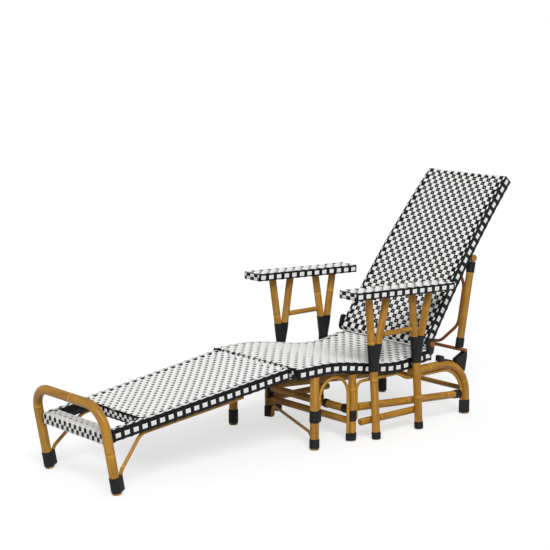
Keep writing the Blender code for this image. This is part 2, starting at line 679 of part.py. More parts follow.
def centre_under_box(pivots):
    """Slide every body along Y so that the part's origin is under the middle of its box."""
    bpy.context.view_layer.update()
    graph = bpy.context.evaluated_depsgraph_get()
    reach = []
    for item in bpy.data.objects:
        if item.type == "EMPTY":
            continue
        shape = item.evaluated_get(graph)
        mesh = shape.to_mesh()
        reach += [(item.matrix_world @ v.co).y for v in mesh.vertices]
        shape.to_mesh_clear()
    shift = -(min(reach) + max(reach)) / 2
    for empty in pivots:
        empty.location.y += shift


def main():
    clear_scene()
    top, _, _, _ = prop_geometry()
    frame = pivot("seat_frame", 0.0, 0.0)
    footrest = pivot("footrest_pivot", SEAT_FRONT - SEAM / 2, SEAT_FRONT_HEIGHT - EDGE_ROUND)
    back = pivot("back_pivot", HINGE_OFFSET, hinge_z())
    prop = pivot("prop_pivot", top.x, top.y)
    build_legs(frame)
    build_arms(frame)
    build_seat(frame)
    build_loops(frame)
    build_rests(frame, rear_tube_z())
    build_footrest(footrest)
    build_back(back)
    build_prop(prop)
    centre_under_box((frame, footrest, back, prop))


main()
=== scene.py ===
"""Looks of a woven cane chaise longue, laid over its CAD frame."""

import math

import bpy
import numpy as np
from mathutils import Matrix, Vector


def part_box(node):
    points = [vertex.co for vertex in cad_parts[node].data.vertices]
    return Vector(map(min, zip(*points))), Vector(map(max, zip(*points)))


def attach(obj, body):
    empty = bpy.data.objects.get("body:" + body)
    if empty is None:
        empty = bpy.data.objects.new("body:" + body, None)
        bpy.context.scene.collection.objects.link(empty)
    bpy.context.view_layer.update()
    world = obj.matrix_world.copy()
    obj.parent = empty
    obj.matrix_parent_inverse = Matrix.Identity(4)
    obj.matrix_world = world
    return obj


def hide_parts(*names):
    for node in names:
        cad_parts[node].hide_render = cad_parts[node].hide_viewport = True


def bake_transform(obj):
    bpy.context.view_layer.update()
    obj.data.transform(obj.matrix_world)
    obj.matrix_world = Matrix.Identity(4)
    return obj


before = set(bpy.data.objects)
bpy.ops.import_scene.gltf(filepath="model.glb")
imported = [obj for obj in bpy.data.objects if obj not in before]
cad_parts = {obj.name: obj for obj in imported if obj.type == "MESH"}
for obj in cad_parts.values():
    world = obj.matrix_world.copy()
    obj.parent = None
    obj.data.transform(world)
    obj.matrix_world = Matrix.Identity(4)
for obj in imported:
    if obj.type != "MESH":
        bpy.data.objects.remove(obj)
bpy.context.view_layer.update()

bl_info = {
    "name": "Woven cane chaise longue",
    "version": (1, 0, 0),
    "blender": (4, 5, 0),
    "location": "3D View > Sidebar > Chaise",
    "description": "Cane poles, woven panels, bindings and studio of a chaise longue",
    "category": "Object",
}

SIDES = ((1, "left"), (-1, "right"))
OUTER = {1: (0,), -1: (2,)}
X_AXIS, Y_AXIS, Z_AXIS = np.eye(3)
SHIFT = sum(corner.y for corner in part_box("front_leg_left")) / 2

# Sizes down to the prop are in metres from the front legs, most of them repeated from the part
# Legs, stretchers and thin braces
GAP = 0.0003
LEG_X = 0.236
LEG_R = 0.017
THIN_R = 0.006
BRACE_R = 0.0065
SECOND_Y = 0.191
SECOND_R = 0.015
REAR_Y = 0.817
REAR_BEND = 0.137
TUBE_FRONT = 0.500
BESIDE_LEG = LEG_R + THIN_R + GAP
BESIDE_SECOND = SECOND_R + THIN_R + GAP
STRETCHER_Z = (0.126, 0.085)
STRETCHER_R = 0.015
STRETCHER_END = 0.001
LEG_ARCH_LOW = 0.110
LEG_ARCH_BEND = 0.0729
LONG_BRACE_LOW = 0.082
LONG_BRACE_STEP = (0.430, 0.482)
LONG_BRACE_BENDS = (0.030, 0.050, 0.050, REAR_BEND - BESIDE_LEG)
BOW_LIFT = 0.0482
BOW_BEND = 0.042

# Seat, and the woven edges, bars and panels of seat, footrest and back
SEAT_WAVE = np.array(((-0.088, 0.320), (0.030, 0.321), (0.430, 0.274), (0.606, 0.2945)))
SEAT_HALF = 0.250
EDGE_HEIGHT = 0.044
EDGE_WIDTH = 0.034
EDGE_ROUND = 0.009
EDGE_DROP = 0.002
EDGE_SQUARE = 0.005
EDGE_DEEP = (EDGE_HEIGHT - EDGE_DROP) / 2
BAR_WIDTH = 0.030
BAR_DROP = 0.004
PANEL_INSET = 0.009
PANEL_THICK = 0.016
PANEL_END = 0.001

# Arms: posts, forks and pads
POSTS = (("front", 0.272), ("rear", 0.502))
POST_R = 0.0155
POST_SPLAY = 0.020
POST_TOP = 0.328
FORK_R = 0.0145
FORK_BEND = 0.0165
FORK_REACH = (-0.037, 0.057)
FORK_START = 0.040
FORK_ROUNDS = 12
PAD_MIDDLE = 0.2745
PAD_FRONT = 0.129
PAD_LENGTH = 0.525
PAD_WIDTH = 0.095
PAD_THICK = 0.031
PAD_TOP = 0.585
PAD_FALL = 0.020

# Footrest, its top and width at head and foot, its arch and braces
FOOT_HEAD = -0.107
FOOT_LENGTH = 0.79947
FOOT_TOP = (0.320, 0.2157)
FOOT_WIDTH = (0.436, 0.378)
FOOT_BAR = 0.050
FOOT_OPENING = 0.170
ARCH_LEAN = math.radians(10.4)
ARCH_HALF = 0.2063
ARCH_TOP = 0.310
ARCH_BEND = 0.085
ARCH_AHEAD = 0.003
BESIDE_ARCH = LEG_R + BRACE_R + GAP
ARCH_BRACE_RISE = 0.060
ARCH_BRACE_RUN = (-0.010, 0.430)
ARCH_BRACE_DROP = 0.00687
ARCH_BRACE_BENDS = (0.040, 0.060)

# Back, its lean and half width at bottom and top
HINGE_Y = 0.599
HINGE_Z = 0.31672
BACK_LEAN = (math.radians(33.5), math.radians(42.7))
BACK_HALF = (0.240, 0.215)
BACK_LOW = 0.0113
BACK_HIGH = 0.77391
BACK_INSET = 0.004
BACK_STEP = 0.01

# Prop, the rod that it hangs on and its brace
ROD_R = 0.014
ROD_AT = 0.408
ROD_BEHIND = 0.0363
PROP_FOOT = (0.800, 0.262)
PROP_X = 0.214
PROP_R = 0.015
PROP_FOOT_R = 0.007
PROP_GAP = 0.0006
BESIDE_PROP = PROP_R + BRACE_R + GAP
PROP_BRACE_IN = (0.060, 0.085)
PROP_BRACE_TOP = 0.0136
PROP_BRACE_AT = (0.30, 0.74)
PROP_BRACE_BEND = 0.060

# Poles that lie along one axis: node, diameter, finish and body, then those on both sides
CROSS_POLES = (
    ("cross_stretcher_upper", 2 * STRETCHER_R, "cane", "seat_frame"),
    ("cross_stretcher_lower", 0.027, "cane", "seat_frame"),
    ("rear_stretcher", 0.020, "cane", "seat_frame"),
    ("hinge_rod", 0.022, "red", "back"),
    ("back_cross_rod", 2 * ROD_R, "cane", "back"),
    ("prop_foot_bar", 2 * PROP_FOOT_R, "red", "prop"),
)
SIDE_POLES = (("front_leg_", 2 * LEG_R), ("second_leg_", 2 * SECOND_R), ("lower_rail_", 0.027),
              ("arm_rod_", 0.020))

# Rings along a path, joints of the cane, and the angle from which an edge stays sharp
RING_POINTS = 24
BEND_STEPS = 15
TANGENT_REACH = 0.003
CANE_STEP = 0.012
CANE_ROUND = 0.002
CANE_FIRST = 0.003
CANE_END = np.array((0.0, 0.3, 1.0)) * CANE_ROUND
CANE_LAY = 0.61
JOINT_FIRST = (0.2, 0.8)
JOINT_STRAY = 0.16
JOINT_RINGS = np.array((-9, -5, -2.5, 0, 2.5, 5, 9)) * 0.001
JOINT_WIDTH = 0.0035
GROOVE_DEPTH = 0.015
GROOVE_AT = 0.007
GROOVE_WIDTH = 0.003
CREASE = math.radians(50.0)

# Wound bindings: points of a ring, rings, power and crown of a turn, length and thickness of the tapered ends
WOUND_POINTS = 48
WOUND_STEPS = 5
WOUND_POWER = 0.6
WOUND_CROWN = 0.28
WOUND_TAPER = 0.0015
WOUND_END = 0.35

# Weave of a slab, in cells, and the curl of its sides in metres
CELL_STEPS = 6
CURL = 0.004
FLOAT_SHARE = 0.62
FLOAT_SPARE = 0.05
FLOAT_POWER = 0.6
BLACK_SHARE = 0.5
STRAND_EDGE = 6
STRAND_DIP = 0.3
CURL_MOST = 0.97
UNDER_CURL = 0.4
HEAD_BORDER = 0.35
WHITE_BORDER = 0.98
UNDER_LAY = (7.0, 14.0, 1.0)
PANEL_BORDER = {"border": 0.2, "shift": 0.5}
RIDGE = 0.2
SEAT_ROWS, SEAT_SHARE = 34, 0.78
FOOT_ROWS, FOOT_SHARE = 35, 0.74
BACK_ROWS, BACK_SHARE = 41, 0.53
PAD_CELLS = (4, 24)

# Wrapped bars: steps of a pitch, heights of the wraps, pitches
SQUARE_STEPS = 14
CHECK_STEPS = 16
WHITE_STEPS = 4
CORNER_STEPS = 3
UPRIGHT_STEPS = 7
LEVEL_STEPS = 9
SQUARE_TALL = 0.39
SQUARE_SPARE = 0.02
BLACK_CROWN = 0.0011
SQUARE_CROWN = 0.0013
SUNK_WRAP = -0.0004
STRAND_CROWN = 0.0003
WRAP_BASE = 0.0006
WRAP_ROUND = 0.003
NO_SQUARE = 9.0
SEAT_RINGS, FOOT_RINGS, BACK_RINGS = 121, 3, 33
SEAT_PITCH = 0.0405
FOOT_PITCH = 0.0363
BACK_PITCH = 0.0373
BACK_CENTRE = -0.24
BAR_PITCH = 0.036
FOOT_BAR_PITCH = 0.0305
FOOT_BAR_INSET = 0.004
FOOT_BAR_LOOKS = {"shown": (2,), "rest": 1, "radius": 0.004, "plain_end": 0.006}
SLEEVE_R = 0.0195
SLEEVE_ROUND = 0.0192
SLEEVE_PITCH = 0.0427
EVERY_SIDE = (0, 1, 2, 3, -1)

# Woven tops of the foot bar and of the edges beside the hand opening
TOP_THICK = 0.010
TOP_INSET = 0.006
TOP_END = 0.002
TOP_ROWS = 3
TOP_SHARE = 0.84
TOP_BORDER = 0.3
TOP_CELLS = (2, 7)

# Arm pads
PAD_INSET = 0.004
PAD_END = 0.002
PAD_CURL = 0.002
PAD_RIM = 0.008
PAD_ROUND = 0.003
PAD_PITCH = 0.0415
PAD_TALL = 0.54

# Cord in the seam and its lacing
CORD_RINGS = 221
CORD_TWIST = 0.018
CORD_R = 0.0076
CORD_CROWN = 0.0012
CORD_OVAL = 1.05
LACING_RINGS = 461
LACING_TURNS = 25
LACING_SWING = 0.011
LACING_LIFT = 0.0025
LACING_DIP = 0.0115
LACING_R = 0.0022
LACING_KNOTS = np.array((-0.102, 0.136))
KNOT_R = 0.0025
KNOT_WIDTH = 0.008
LACING_TWIST = 0.0025

# Bindings of the legs: name, y, low end, high ends on the left and right, circles that they go round
LEG_BINDINGS = (
    ("front_foot", 0.0, 0.007, (0.042, 0.062), [(0, 0, LEG_R)]),
    ("front_leg", 0.0, 0.104, (0.150, 0.150), [(0, 0, LEG_R), (0, BESIDE_LEG, THIN_R)]),
    ("second_foot", SECOND_Y, 0.004, (0.033, 0.048), [(0, 0, SECOND_R), (0, -BESIDE_SECOND, THIN_R)]),
    ("second_leg", SECOND_Y, 0.078, (0.120, 0.120), [(0, 0, SECOND_R)]),
    ("rear_foot", REAR_Y, 0.006, (0.058, 0.058), [(0, 0, LEG_R), (0, -BESIDE_LEG, THIN_R)]),
)
STRETCHER_BINDING = (0.036, 0.002)
CROSS_BINDINGS = (("cross_outer", 0.190, 0.218), ("cross_inner", 0.086, 0.104))
CROSS_Z = 0.118
ARCH_BINDING = (0.007, 0.062)
POST_BINDING = (0.002, 0.029)

# Binding of an arm post and the fork above it, narrow at the post and spread at the top
ARM_BINDING = (0.262, 0.366)
ARM_LEVEL = 0.014
ARM_SHOULDER = 0.004
ARM_CORE_R = 0.004
ARM_FORK_R = 0.0138
ARM_NARROW = 0.35
ARM_SPREAD_FROM = 0.290
ARM_SPREAD_OVER = 0.05

# Bindings of the prop, its rod and the hinge
PROP_BINDING_TOP = 0.058
PROP_BINDING_LOW = 0.046
PROP_BINDING_GAP = 0.001
ROD_TIE_X = (0.175, 0.1965)
ROD_TIE = [(0, 0, 0.0135), (0.020, 0, 0.012)]
HINGE_LOOP_X = (0.2425, 0.2545)
HINGE_LOOP = [(0, 0, SLEEVE_R), (0.030, 0.0, 0.012)]

# Noise of the finishes: stretch, scale and detail, or the scale alone
CANE_FIBRE = ((1.0, 1.0, 0.03), 700.0, 3.0)
CANE_STREAK = ((1.0, 1.0, 0.05), 160.0, 2.0)
CANE_BLOTCH = ((1.0, 1.0, 0.25), 30.0, 2.0)
WHITE_GRAIN = ((14.0, 1.5, 1.0), 3.0, 2.0)
BLACK_GRAIN = ((1.5, 14.0, 1.0), 3.0, 2.0)
WOUND_GRAIN = ((60.0, 1.0, 1.0), 4.0, 2.0)
AGE_SCALE = 0.35
FLOOR_SCALE = 0.4

# Cane finish: joint lines in metres along the pole, their strength, gloss, tints of the thin and red canes
LINE_WIDTH, LINE_DARK = 0.0016, 0.55
BAND_WIDTH, BAND_LIGHT = 0.006, 0.35
BAND_AT = 0.008
CANE_ROUGH = 0.36
CANE_GLOSS = {"Coat_Weight": 0.1, "Coat_Roughness": 0.22, "Specular_IOR_Level": 0.35}
THIN_PALE, THIN_DEEP, RED_DEEP = 1.08, 1.15, 0.5

# Weave finish: width in cells and strength of each soft line; the pair, cross and flank lines are painted
# shade
FLOAT_HALF = 0.46
PAIR_WIDTH, PAIR_SHADE = 0.05, 0.2
CROSS_WIDTH, CROSS_SHADE = 0.04, 0.1
FLANK_WIDTH, FLANK_SHADE = 0.15, 0.45
PINHOLE_WIDTH, PINHOLE_LIGHT = 0.02, 0.7
LEAST_SHARE = 0.1
WEAVE_ROUGH = 0.36
WEAVE_GLOSS = 0.15

# Binding finish: widths in turns, strength of the painted shade in the grooves, turns of the racks to a metre
GROOVE_REACH, GROOVE_SHADE = 0.42, 0.6
CROWN_REACH = 0.35
WOUND_ROUGH = 0.38
WOUND_GLOSS = 0.25
RACK_TURNS = 240.0

# Bumps of the finishes: strength, and depth in metres
CANE_BUMP = (0.25, 0.0006)
WEAVE_BUMP = (0.2, 0.0005)
WOUND_BUMP = (0.35, 0.0008)

# Studio
FLOOR_REACH = 60.0
FLOOR_ROUGH = 0.9
FLOOR_CLOUD = 0.995
SENSOR = 36.0
CLIP_END = 200.0
BLACK = (0.0, 0.0, 0.0, 1.0)
WHITE = (1.0, 1.0, 1.0, 1.0)


def unit(v):
    return v / np.linalg.norm(v, axis=-1, keepdims=True)


def span(node):
    """Lowest and highest corner of a CAD node, measured from the front legs."""
    low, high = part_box(node)
    return np.array(low) - SHIFT * Y_AXIS, np.array(high) - SHIFT * Y_AXIS


def seat_top(y):
    """Wavy seat: cosine steps between the knots of the wave."""
    y = np.clip(y, SEAT_WAVE[0, 0], SEAT_WAVE[-1, 0])
    k = np.clip(np.searchsorted(SEAT_WAVE[:, 0], y) - 1, 0, len(SEAT_WAVE) - 2)
    (y0, z0), (y1, z1) = np.moveaxis(SEAT_WAVE[k], -1, 0), np.moveaxis(SEAT_WAVE[k + 1], -1, 0)
    return z0 + (z1 - z0) * (0.5 - 0.5 * np.cos(np.pi * (y - y0) / (y1 - y0)))


def foot_top(y):
    """Straight slope of the footrest from the seat's front down to the foot bar."""
    head, foot = FOOT_TOP
    return head + (head - foot) / FOOT_LENGTH * (y - FOOT_HEAD)


def foot_half(y):
    """Half width of the footrest, which tapers to the foot."""
    head, foot = FOOT_WIDTH
    return (head + (foot - head) * (FOOT_HEAD - y) / FOOT_LENGTH) / 2


def on_back(x, s, n):
    """Point at x across, s up the evenly curved back and n behind its middle surface."""
    x, s, n = np.broadcast_arrays(x, s, n)
    low, high = BACK_LEAN
    lean = low + (high - low) * s / BACK_HIGH
    radius = BACK_HIGH / (high - low)
    return np.stack([x, HINGE_Y + radius * (math.cos(low) - np.cos(lean)) + n * np.cos(lean),
                     HINGE_Z + radius * (np.sin(lean) - math.sin(low)) - n * np.sin(lean)], -1)


def back_half(s):
    """Half width of the back, which tapers to its top."""
    return BACK_HALF[0] + (BACK_HALF[1] - BACK_HALF[0]) * s / BACK_HIGH


def bent(corners, radii):
    """Polyline through the corners with each inner corner turned into a circular arc."""
    corners = np.array(corners, float)
    runs = [corners[:1]]
    for before, corner, after, radius in zip(corners, corners[1:], corners[2:], radii):
        one, two = unit(before - corner), unit(after - corner)
        half = math.acos(float(one @ two)) / 2
        centre = corner + unit(one + two) * (radius / math.sin(half))
        start = corner + one * (radius / math.tan(half)) - centre
        end = corner + two * (radius / math.tan(half)) - centre
        turn = np.cross(unit(np.cross(start, end)), start)
        t = np.linspace(0.0, math.pi - 2 * half, BEND_STEPS)[:, None]
        runs.append(centre + start * np.cos(t) + turn * np.sin(t))
    return np.concatenate(runs + [corners[-1:]])


def run_length(path):
    return float(np.linalg.norm(np.diff(path, axis=0), axis=1).sum())


def follow(path, stations):
    """Points and unit tangents of a polyline at distances along it."""
    along = np.concatenate([[0.0], np.cumsum(np.linalg.norm(np.diff(path, axis=0), axis=1))])

    def at(s):
        s = np.clip(s, 0.0, along[-1])
        return np.stack([np.interp(s, along, path[:, k]) for k in range(3)], -1)

    return at(stations), unit(at(stations + TANGENT_REACH) - at(stations - TANGENT_REACH))


def full_turn(points):
    """Angles of the points of a ring."""
    return np.linspace(0, 2 * np.pi, points, endpoint=False)


def sweep(path, stations, a, b, side):
    """Rings of the profile (a, b) carried along a path; a points towards side, b across it."""
    points, ahead = follow(path, stations)
    first = unit(side - (ahead @ side)[:, None] * ahead)
    second = np.cross(ahead, first)
    return points[:, None] + a[..., None] * first[:, None] + b[..., None] * second[:, None]


def skin(rings, **fields):
    """Closed skin over rings of points, each end drawn to the middle of its last ring.

    A field with one value per ring point becomes a point attribute, and one with a value per quad
    a face attribute.
    """
    n, m, _ = rings.shape
    verts = np.concatenate([rings.reshape(-1, 3), rings[0].mean(0)[None], rings[-1].mean(0)[None]])
    i, j = np.meshgrid(np.arange(n - 1), np.arange(m), indexing="ij")
    k = (j + 1) % m
    quads = np.stack([i * m + j, i * m + k, (i + 1) * m + k, (i + 1) * m + j], -1).reshape(-1, 4)
    j, k = np.arange(m), (np.arange(m) + 1) % m
    low = np.stack([np.full(m, n * m), k, j], -1)
    high = np.stack([np.full(m, n * m + 1), (n - 1) * m + j, (n - 1) * m + k], -1)
    made = {}
    for name, value in fields.items():
        value = np.asarray(value, float)
        if value.shape[0] == n:
            flat = value.reshape(n * m, -1)
            ends = np.stack([value[0].reshape(m, -1).mean(0), value[-1].reshape(m, -1).mean(0)])
            made[name] = ("POINT", np.concatenate([flat, ends]))
        else:
            rows = [value.reshape(-1, 1), value[0][:, None], value[-1][:, None]]
            made[name] = ("FACE", np.concatenate(rows))
    return verts, quads.tolist() + low.tolist() + high.tolist(), made


def piece(name, skins, body, finish, replaced=()):
    """One mesh object from a list of skins, set on its body in place of the CAD nodes.

    With a pair of bodies it is set on no body and stays where it is built.
    """
    verts, faces, start = [], [], 0
    for points, corners, _ in skins:
        verts.append(points)
        faces += [[start + c for c in face] for face in corners]
        start += len(points)
    mesh = bpy.data.meshes.new(name)
    mesh.from_pydata((np.concatenate(verts) + SHIFT * Y_AXIS).tolist(), [], faces)
    for key, (domain, _) in skins[0][2].items():
        values = np.concatenate([made[key][1] for _, _, made in skins])
        kind = "FLOAT_VECTOR" if values.shape[1] == 3 else "FLOAT"
        field = mesh.attributes.new(key, kind, domain)
        field.data.foreach_set("vector" if kind == "FLOAT_VECTOR" else "value", values.ravel())
    mesh.shade_smooth()
    mesh.set_sharp_from_angle(angle=CREASE)
    mesh.materials.append(finish)
    item = bpy.data.objects.new(name, mesh)
    bpy.context.collection.objects.link(item)
    if isinstance(body, str):
        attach(item, body)
    else:
        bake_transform(item)
    if replaced:
        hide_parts(*replaced)


def cane_skin(path, diameter, side, seed):
    """Round pole along a path: radius R(1 + ring), with a raised ring and a groove at each joint."""
    length = run_length(path)
    draw = np.random.default_rng(seed)
    settings = bpy.context.scene.chaise_cane
    gap = settings.joint_gap
    joints = draw.uniform(*JOINT_FIRST) * gap + np.arange(-1, int(length / gap) + 2) * gap
    joints = joints + draw.uniform(-JOINT_STRAY, JOINT_STRAY, len(joints)) * gap
    near = (joints[:, None] + JOINT_RINGS).ravel()
    plain = np.linspace(CANE_FIRST, length - CANE_FIRST, max(2, int(length / CANE_STEP)))
    stations = np.concatenate([plain, near, CANE_END, length - CANE_END])
    stations = np.unique(np.round(stations[(stations >= 0) & (stations <= length)], 5))
    off = stations[:, None] - joints
    off = off[np.arange(len(stations)), np.abs(off).argmin(1)]
    ring = settings.joint_swell * np.exp(-(off / JOINT_WIDTH) ** 2)
    ring = ring - GROOVE_DEPTH * np.exp(-((off - GROOVE_AT) / GROOVE_WIDTH) ** 2)
    inside = np.minimum(stations, length - stations)
    shy = np.clip(1 - inside / CANE_ROUND, 0, 1)
    radius = diameter / 2 * (1 + ring) - CANE_ROUND * (1 - np.sqrt(1 - shy ** 2))
    turn = full_turn(RING_POINTS)
    a, b = radius[:, None] * np.cos(turn), radius[:, None] * np.sin(turn)
    rings = sweep(path, stations, a, b, side)
    lay = np.stack([a, b, np.broadcast_to((stations + CANE_LAY * seed)[:, None], a.shape)], -1)
    return skin(rings, lay=lay, joint=np.broadcast_to(off[:, None], a.shape))


def wrap_skin(path, side, circles):
    """Sleeve of wound strands: hull of the circles (a, b, r) along the path, rounded over each turn."""
    settings = bpy.context.scene.chaise_binding
    length = run_length(path)
    turns = max(1, round(length / settings.strand))
    stations = np.linspace(0.0, length, turns * WOUND_STEPS + 1)
    wave = np.abs(np.sin(np.pi * stations / length * turns)) ** WOUND_POWER
    ends = np.clip(np.minimum(stations, length - stations) / WOUND_TAPER, 0, 1)
    out = settings.thickness * (WOUND_END + (1 - WOUND_END) * ends)
    out = out * (1 - WOUND_CROWN + WOUND_CROWN * wave)
    circles = np.asarray(circles(stations / length) if callable(circles) else circles, float)
    circles = np.broadcast_to(circles, (len(stations),) + circles.shape[-2:])
    turn = full_turn(WOUND_POINTS)
    way = np.stack([np.cos(turn), np.sin(turn)], -1)
    reach = circles[:, None, :, :2] @ way[None, :, :, None]
    reach = reach[..., 0] + circles[:, None, :, 2]
    best = reach.argmax(-1)
    chosen = np.take_along_axis(circles[:, None], best[..., None, None], 2)[:, :, 0]
    spot = chosen[..., :2] + way * (chosen[..., 2:] + out[:, None, None])
    rings = sweep(path, stations, spot[..., 0], spot[..., 1], side)
    around, along = turn / (2 * np.pi), (stations / settings.strand)[:, None]
    lay = np.stack(np.broadcast_arrays(around, along, 0.0), -1)
    return skin(rings, lay=lay)


def crossing(u, v, flip=0):
    """Two-strand weave in cells: offset from the nearest white float along v and black float along u."""
    white = (v - 0.5 - np.floor(u) % 2 - flip + 1) % 2 - 1
    black = (u - 0.5 - (np.floor(v) + 1) % 2 - flip + 1) % 2 - 1
    return white, black


def weave_rise(u, v, high, low, share, flip=0):
    """Height of the weave: each float is an arch along its strands, and a pair of strands across."""
    white, black = crossing(u, v, flip)

    def pair(t):
        t = t - np.floor(t)
        dip = np.clip(1 - STRAND_EDGE * np.abs(t - 0.5), 0, 1)
        return np.clip(STRAND_EDGE * np.minimum(t, 1 - t), 0, 1) * (1 - STRAND_DIP * dip)

    def arch(off, reach):
        return np.clip(1 - (off / reach) ** 2, 0, 1) ** FLOAT_POWER

    over = high * arch(white, share + FLOAT_SPARE) * pair(u)
    under = low * arch(black, BLACK_SHARE) * pair(v)
    return np.maximum(over, under)


def slab_skin(place, half, low, high, columns, rows, thick, share=FLOAT_SHARE, curl=CURL, border=0.0,
              shift=0.0, ridge=0.0):
    """Woven slab: cells on a grid, raised floats on both faces, long sides curled down.

    A white float is twice share cells long; the third coordinate of lay tells it to the finish. The
    outer border, a share of a cell wide and wider at the high end, is white. Within ridge cells of
    the long sides the top is raised all the way. Shift moves the cells sideways.
    """
    settings = bpy.context.scene.chaise_weave
    u = np.arange(columns * CELL_STEPS + 1) / CELL_STEPS
    v = np.arange(rows * CELL_STEPS + 1) / CELL_STEPS
    grid_u, grid_v = np.meshgrid(u, v)
    s = low + (high - low) * grid_v / rows
    wide = half(s)
    x = wide * (2 * grid_u / columns - 1)
    over = np.clip((np.abs(x) - wide + curl) / curl, 0, CURL_MOST)
    drop = curl * (1 - np.sqrt(1 - over ** 2))
    inner = np.minimum(thick * UNDER_CURL, drop)
    face = settings.white_rise
    cell_u = grid_u + shift
    flank = np.minimum(grid_u, columns - grid_u)
    inside = np.minimum(flank, HEAD_BORDER * (rows - grid_v))
    rise = weave_rise(cell_u, grid_v, face, settings.black_rise, share)
    up = np.where(flank < ridge, face, rise) - face - drop
    down = weave_rise(cell_u, grid_v, face, settings.black_rise, share, 1) - face
    top = place(x, s, up)
    under = place(x, s, -thick - down + inner)
    rings = np.concatenate([top, under[:, ::-1]], 1)
    lay = np.stack([cell_u, grid_v, np.where(inside < border, WHITE_BORDER, share)], -1)
    lay = np.concatenate([lay, lay[:, ::-1] + UNDER_LAY], 1)
    faces = np.ones((len(v) - 1, len(u) - 1))
    rim = np.zeros((len(v) - 1, 1))
    return skin(rings, lay=lay, tone=np.concatenate([faces, rim, faces, rim], 1))


def box_profile(half_a, half_b, radius, cuts):
    """Rounded rectangle walked from its +a side round to +b, its a sides also split at the cuts.

    Also says which side each step is on.
    """
    flat_a, flat_b = half_a - radius, half_b - radius
    turn = np.linspace(0, np.pi / 2, CORNER_STEPS + 1)[1:-1]
    upright = np.concatenate([np.linspace(-flat_b, flat_b, UPRIGHT_STEPS), np.clip(cuts, -flat_b, flat_b)])
    upright = np.unique(np.round(upright, 6))
    level = np.linspace(-flat_a, flat_a, LEVEL_STEPS)
    parts, sides = [], []
    for k, (along, flat, out) in enumerate(((upright, flat_b, half_a), (level, flat_a, half_b),
                                            (-upright[::-1], flat_b, half_a), (level, flat_a, half_b))):
        arc = np.stack([out - radius + radius * np.cos(turn), flat + radius * np.sin(turn)], -1)
        local = np.concatenate([np.stack([np.full_like(along, out), along], -1), arc])
        cos, sin = round(math.cos(k * math.pi / 2)), round(math.sin(k * math.pi / 2))
        parts.append(local @ np.array(((cos, sin), (-sin, cos))))
        sides += [k] * (len(along) - 1) + [-1] * CORNER_STEPS
    return np.concatenate(parts), np.array(sides)


def bar_skin(path, side, half_a, half_b, pitch, style, shown=(0, 2), tall=SQUARE_TALL, rest=0,
             radius=EDGE_ROUND, plain_end=0.0, centre=0.0):
    """Bar wrapped in strands: outline plus a crown over each wrap, patterned on the sides shown.

    A pitch has one white and one black wrap. Style "squares" has one white square, tall times the
    height and set at centre, on each white wrap. Style "checker" has two rows of cells that change
    over at half height. The other sides are black, or white where rest is 1, and both ends are
    black over the length plain_end.
    """
    squares = style == "squares"
    length = run_length(path)
    wraps = max(1, round(length / pitch))
    per = SQUARE_STEPS if squares else CHECK_STEPS
    white_half = WHITE_STEPS / per
    stations = np.linspace(0.0, length, wraps * per + 1)
    t = np.arange(wraps * per + 1) / per
    cuts = ((centre - tall) * half_b, (centre + tall) * half_b) if squares else (0.0,)
    outline, sides = box_profile(half_a, half_b, radius, cuts)
    across = unit(np.roll(outline, -1, 0) - np.roll(outline, 1, 0))
    out = np.stack([across[:, 1], -across[:, 0]], -1)
    mid = (np.arange(wraps * per) + 0.5) / per
    white_wrap = np.abs(mid % 1 - 0.5) < white_half
    middle = (outline + np.roll(outline, -1, 0)) / 2
    reach = middle[:, 1] / half_b
    if squares:
        tone = white_wrap[:, None] & (np.abs(reach - centre) < tall)[None]
    else:
        tone = white_wrap[:, None] == (reach < 0)[None]
    tone = np.where(np.isin(sides, shown)[None], tone, rest)
    from_end = np.minimum(mid, wraps - mid) * length / wraps
    tone = tone * (from_end > plain_end)[:, None]
    off = np.abs(t % 1 - 0.5)
    white = off < white_half - 1e-6
    arch = np.abs(np.where(white, np.cos(np.pi / 2 * off / white_half),
                           np.cos(np.pi / 2 * (0.5 - off) / (0.5 - white_half)))) ** 0.5
    strand = np.abs(np.sin(4 * np.pi * t)) ** 0.5
    on_side = np.abs(outline[:, 0]) > half_a - radius
    high = np.abs(np.where(on_side, outline[:, 1] / half_b - centre, NO_SQUARE))
    square = (high < tall + SQUARE_SPARE)[None] & white[:, None]
    raised = np.where(square, SQUARE_CROWN * arch[:, None], SUNK_WRAP)
    rise = np.where(~white[:, None], BLACK_CROWN * arch[:, None], raised)
    rise = rise + STRAND_CROWN * strand[:, None] - WRAP_BASE
    ends = np.clip(np.minimum(stations, length - stations) / WRAP_ROUND, 0, 1)
    shrink = WRAP_ROUND * (1 - np.sqrt(1 - (1 - ends) ** 2))
    a = outline[:, 0] + out[:, 0] * (rise - shrink[:, None])
    b = outline[:, 1] + out[:, 1] * (rise - shrink[:, None])
    rings = sweep(path, stations, a, b, side)
    rows = outline[:, 1] / half_b
    if squares:
        rows = 0.5 + (rows - centre) / (2 * tall)
    lay = np.stack(np.broadcast_arrays((2 * t + 0.5)[:, None], rows[None], 0.0), -1)
    return skin(rings, lay=lay, tone=tone)


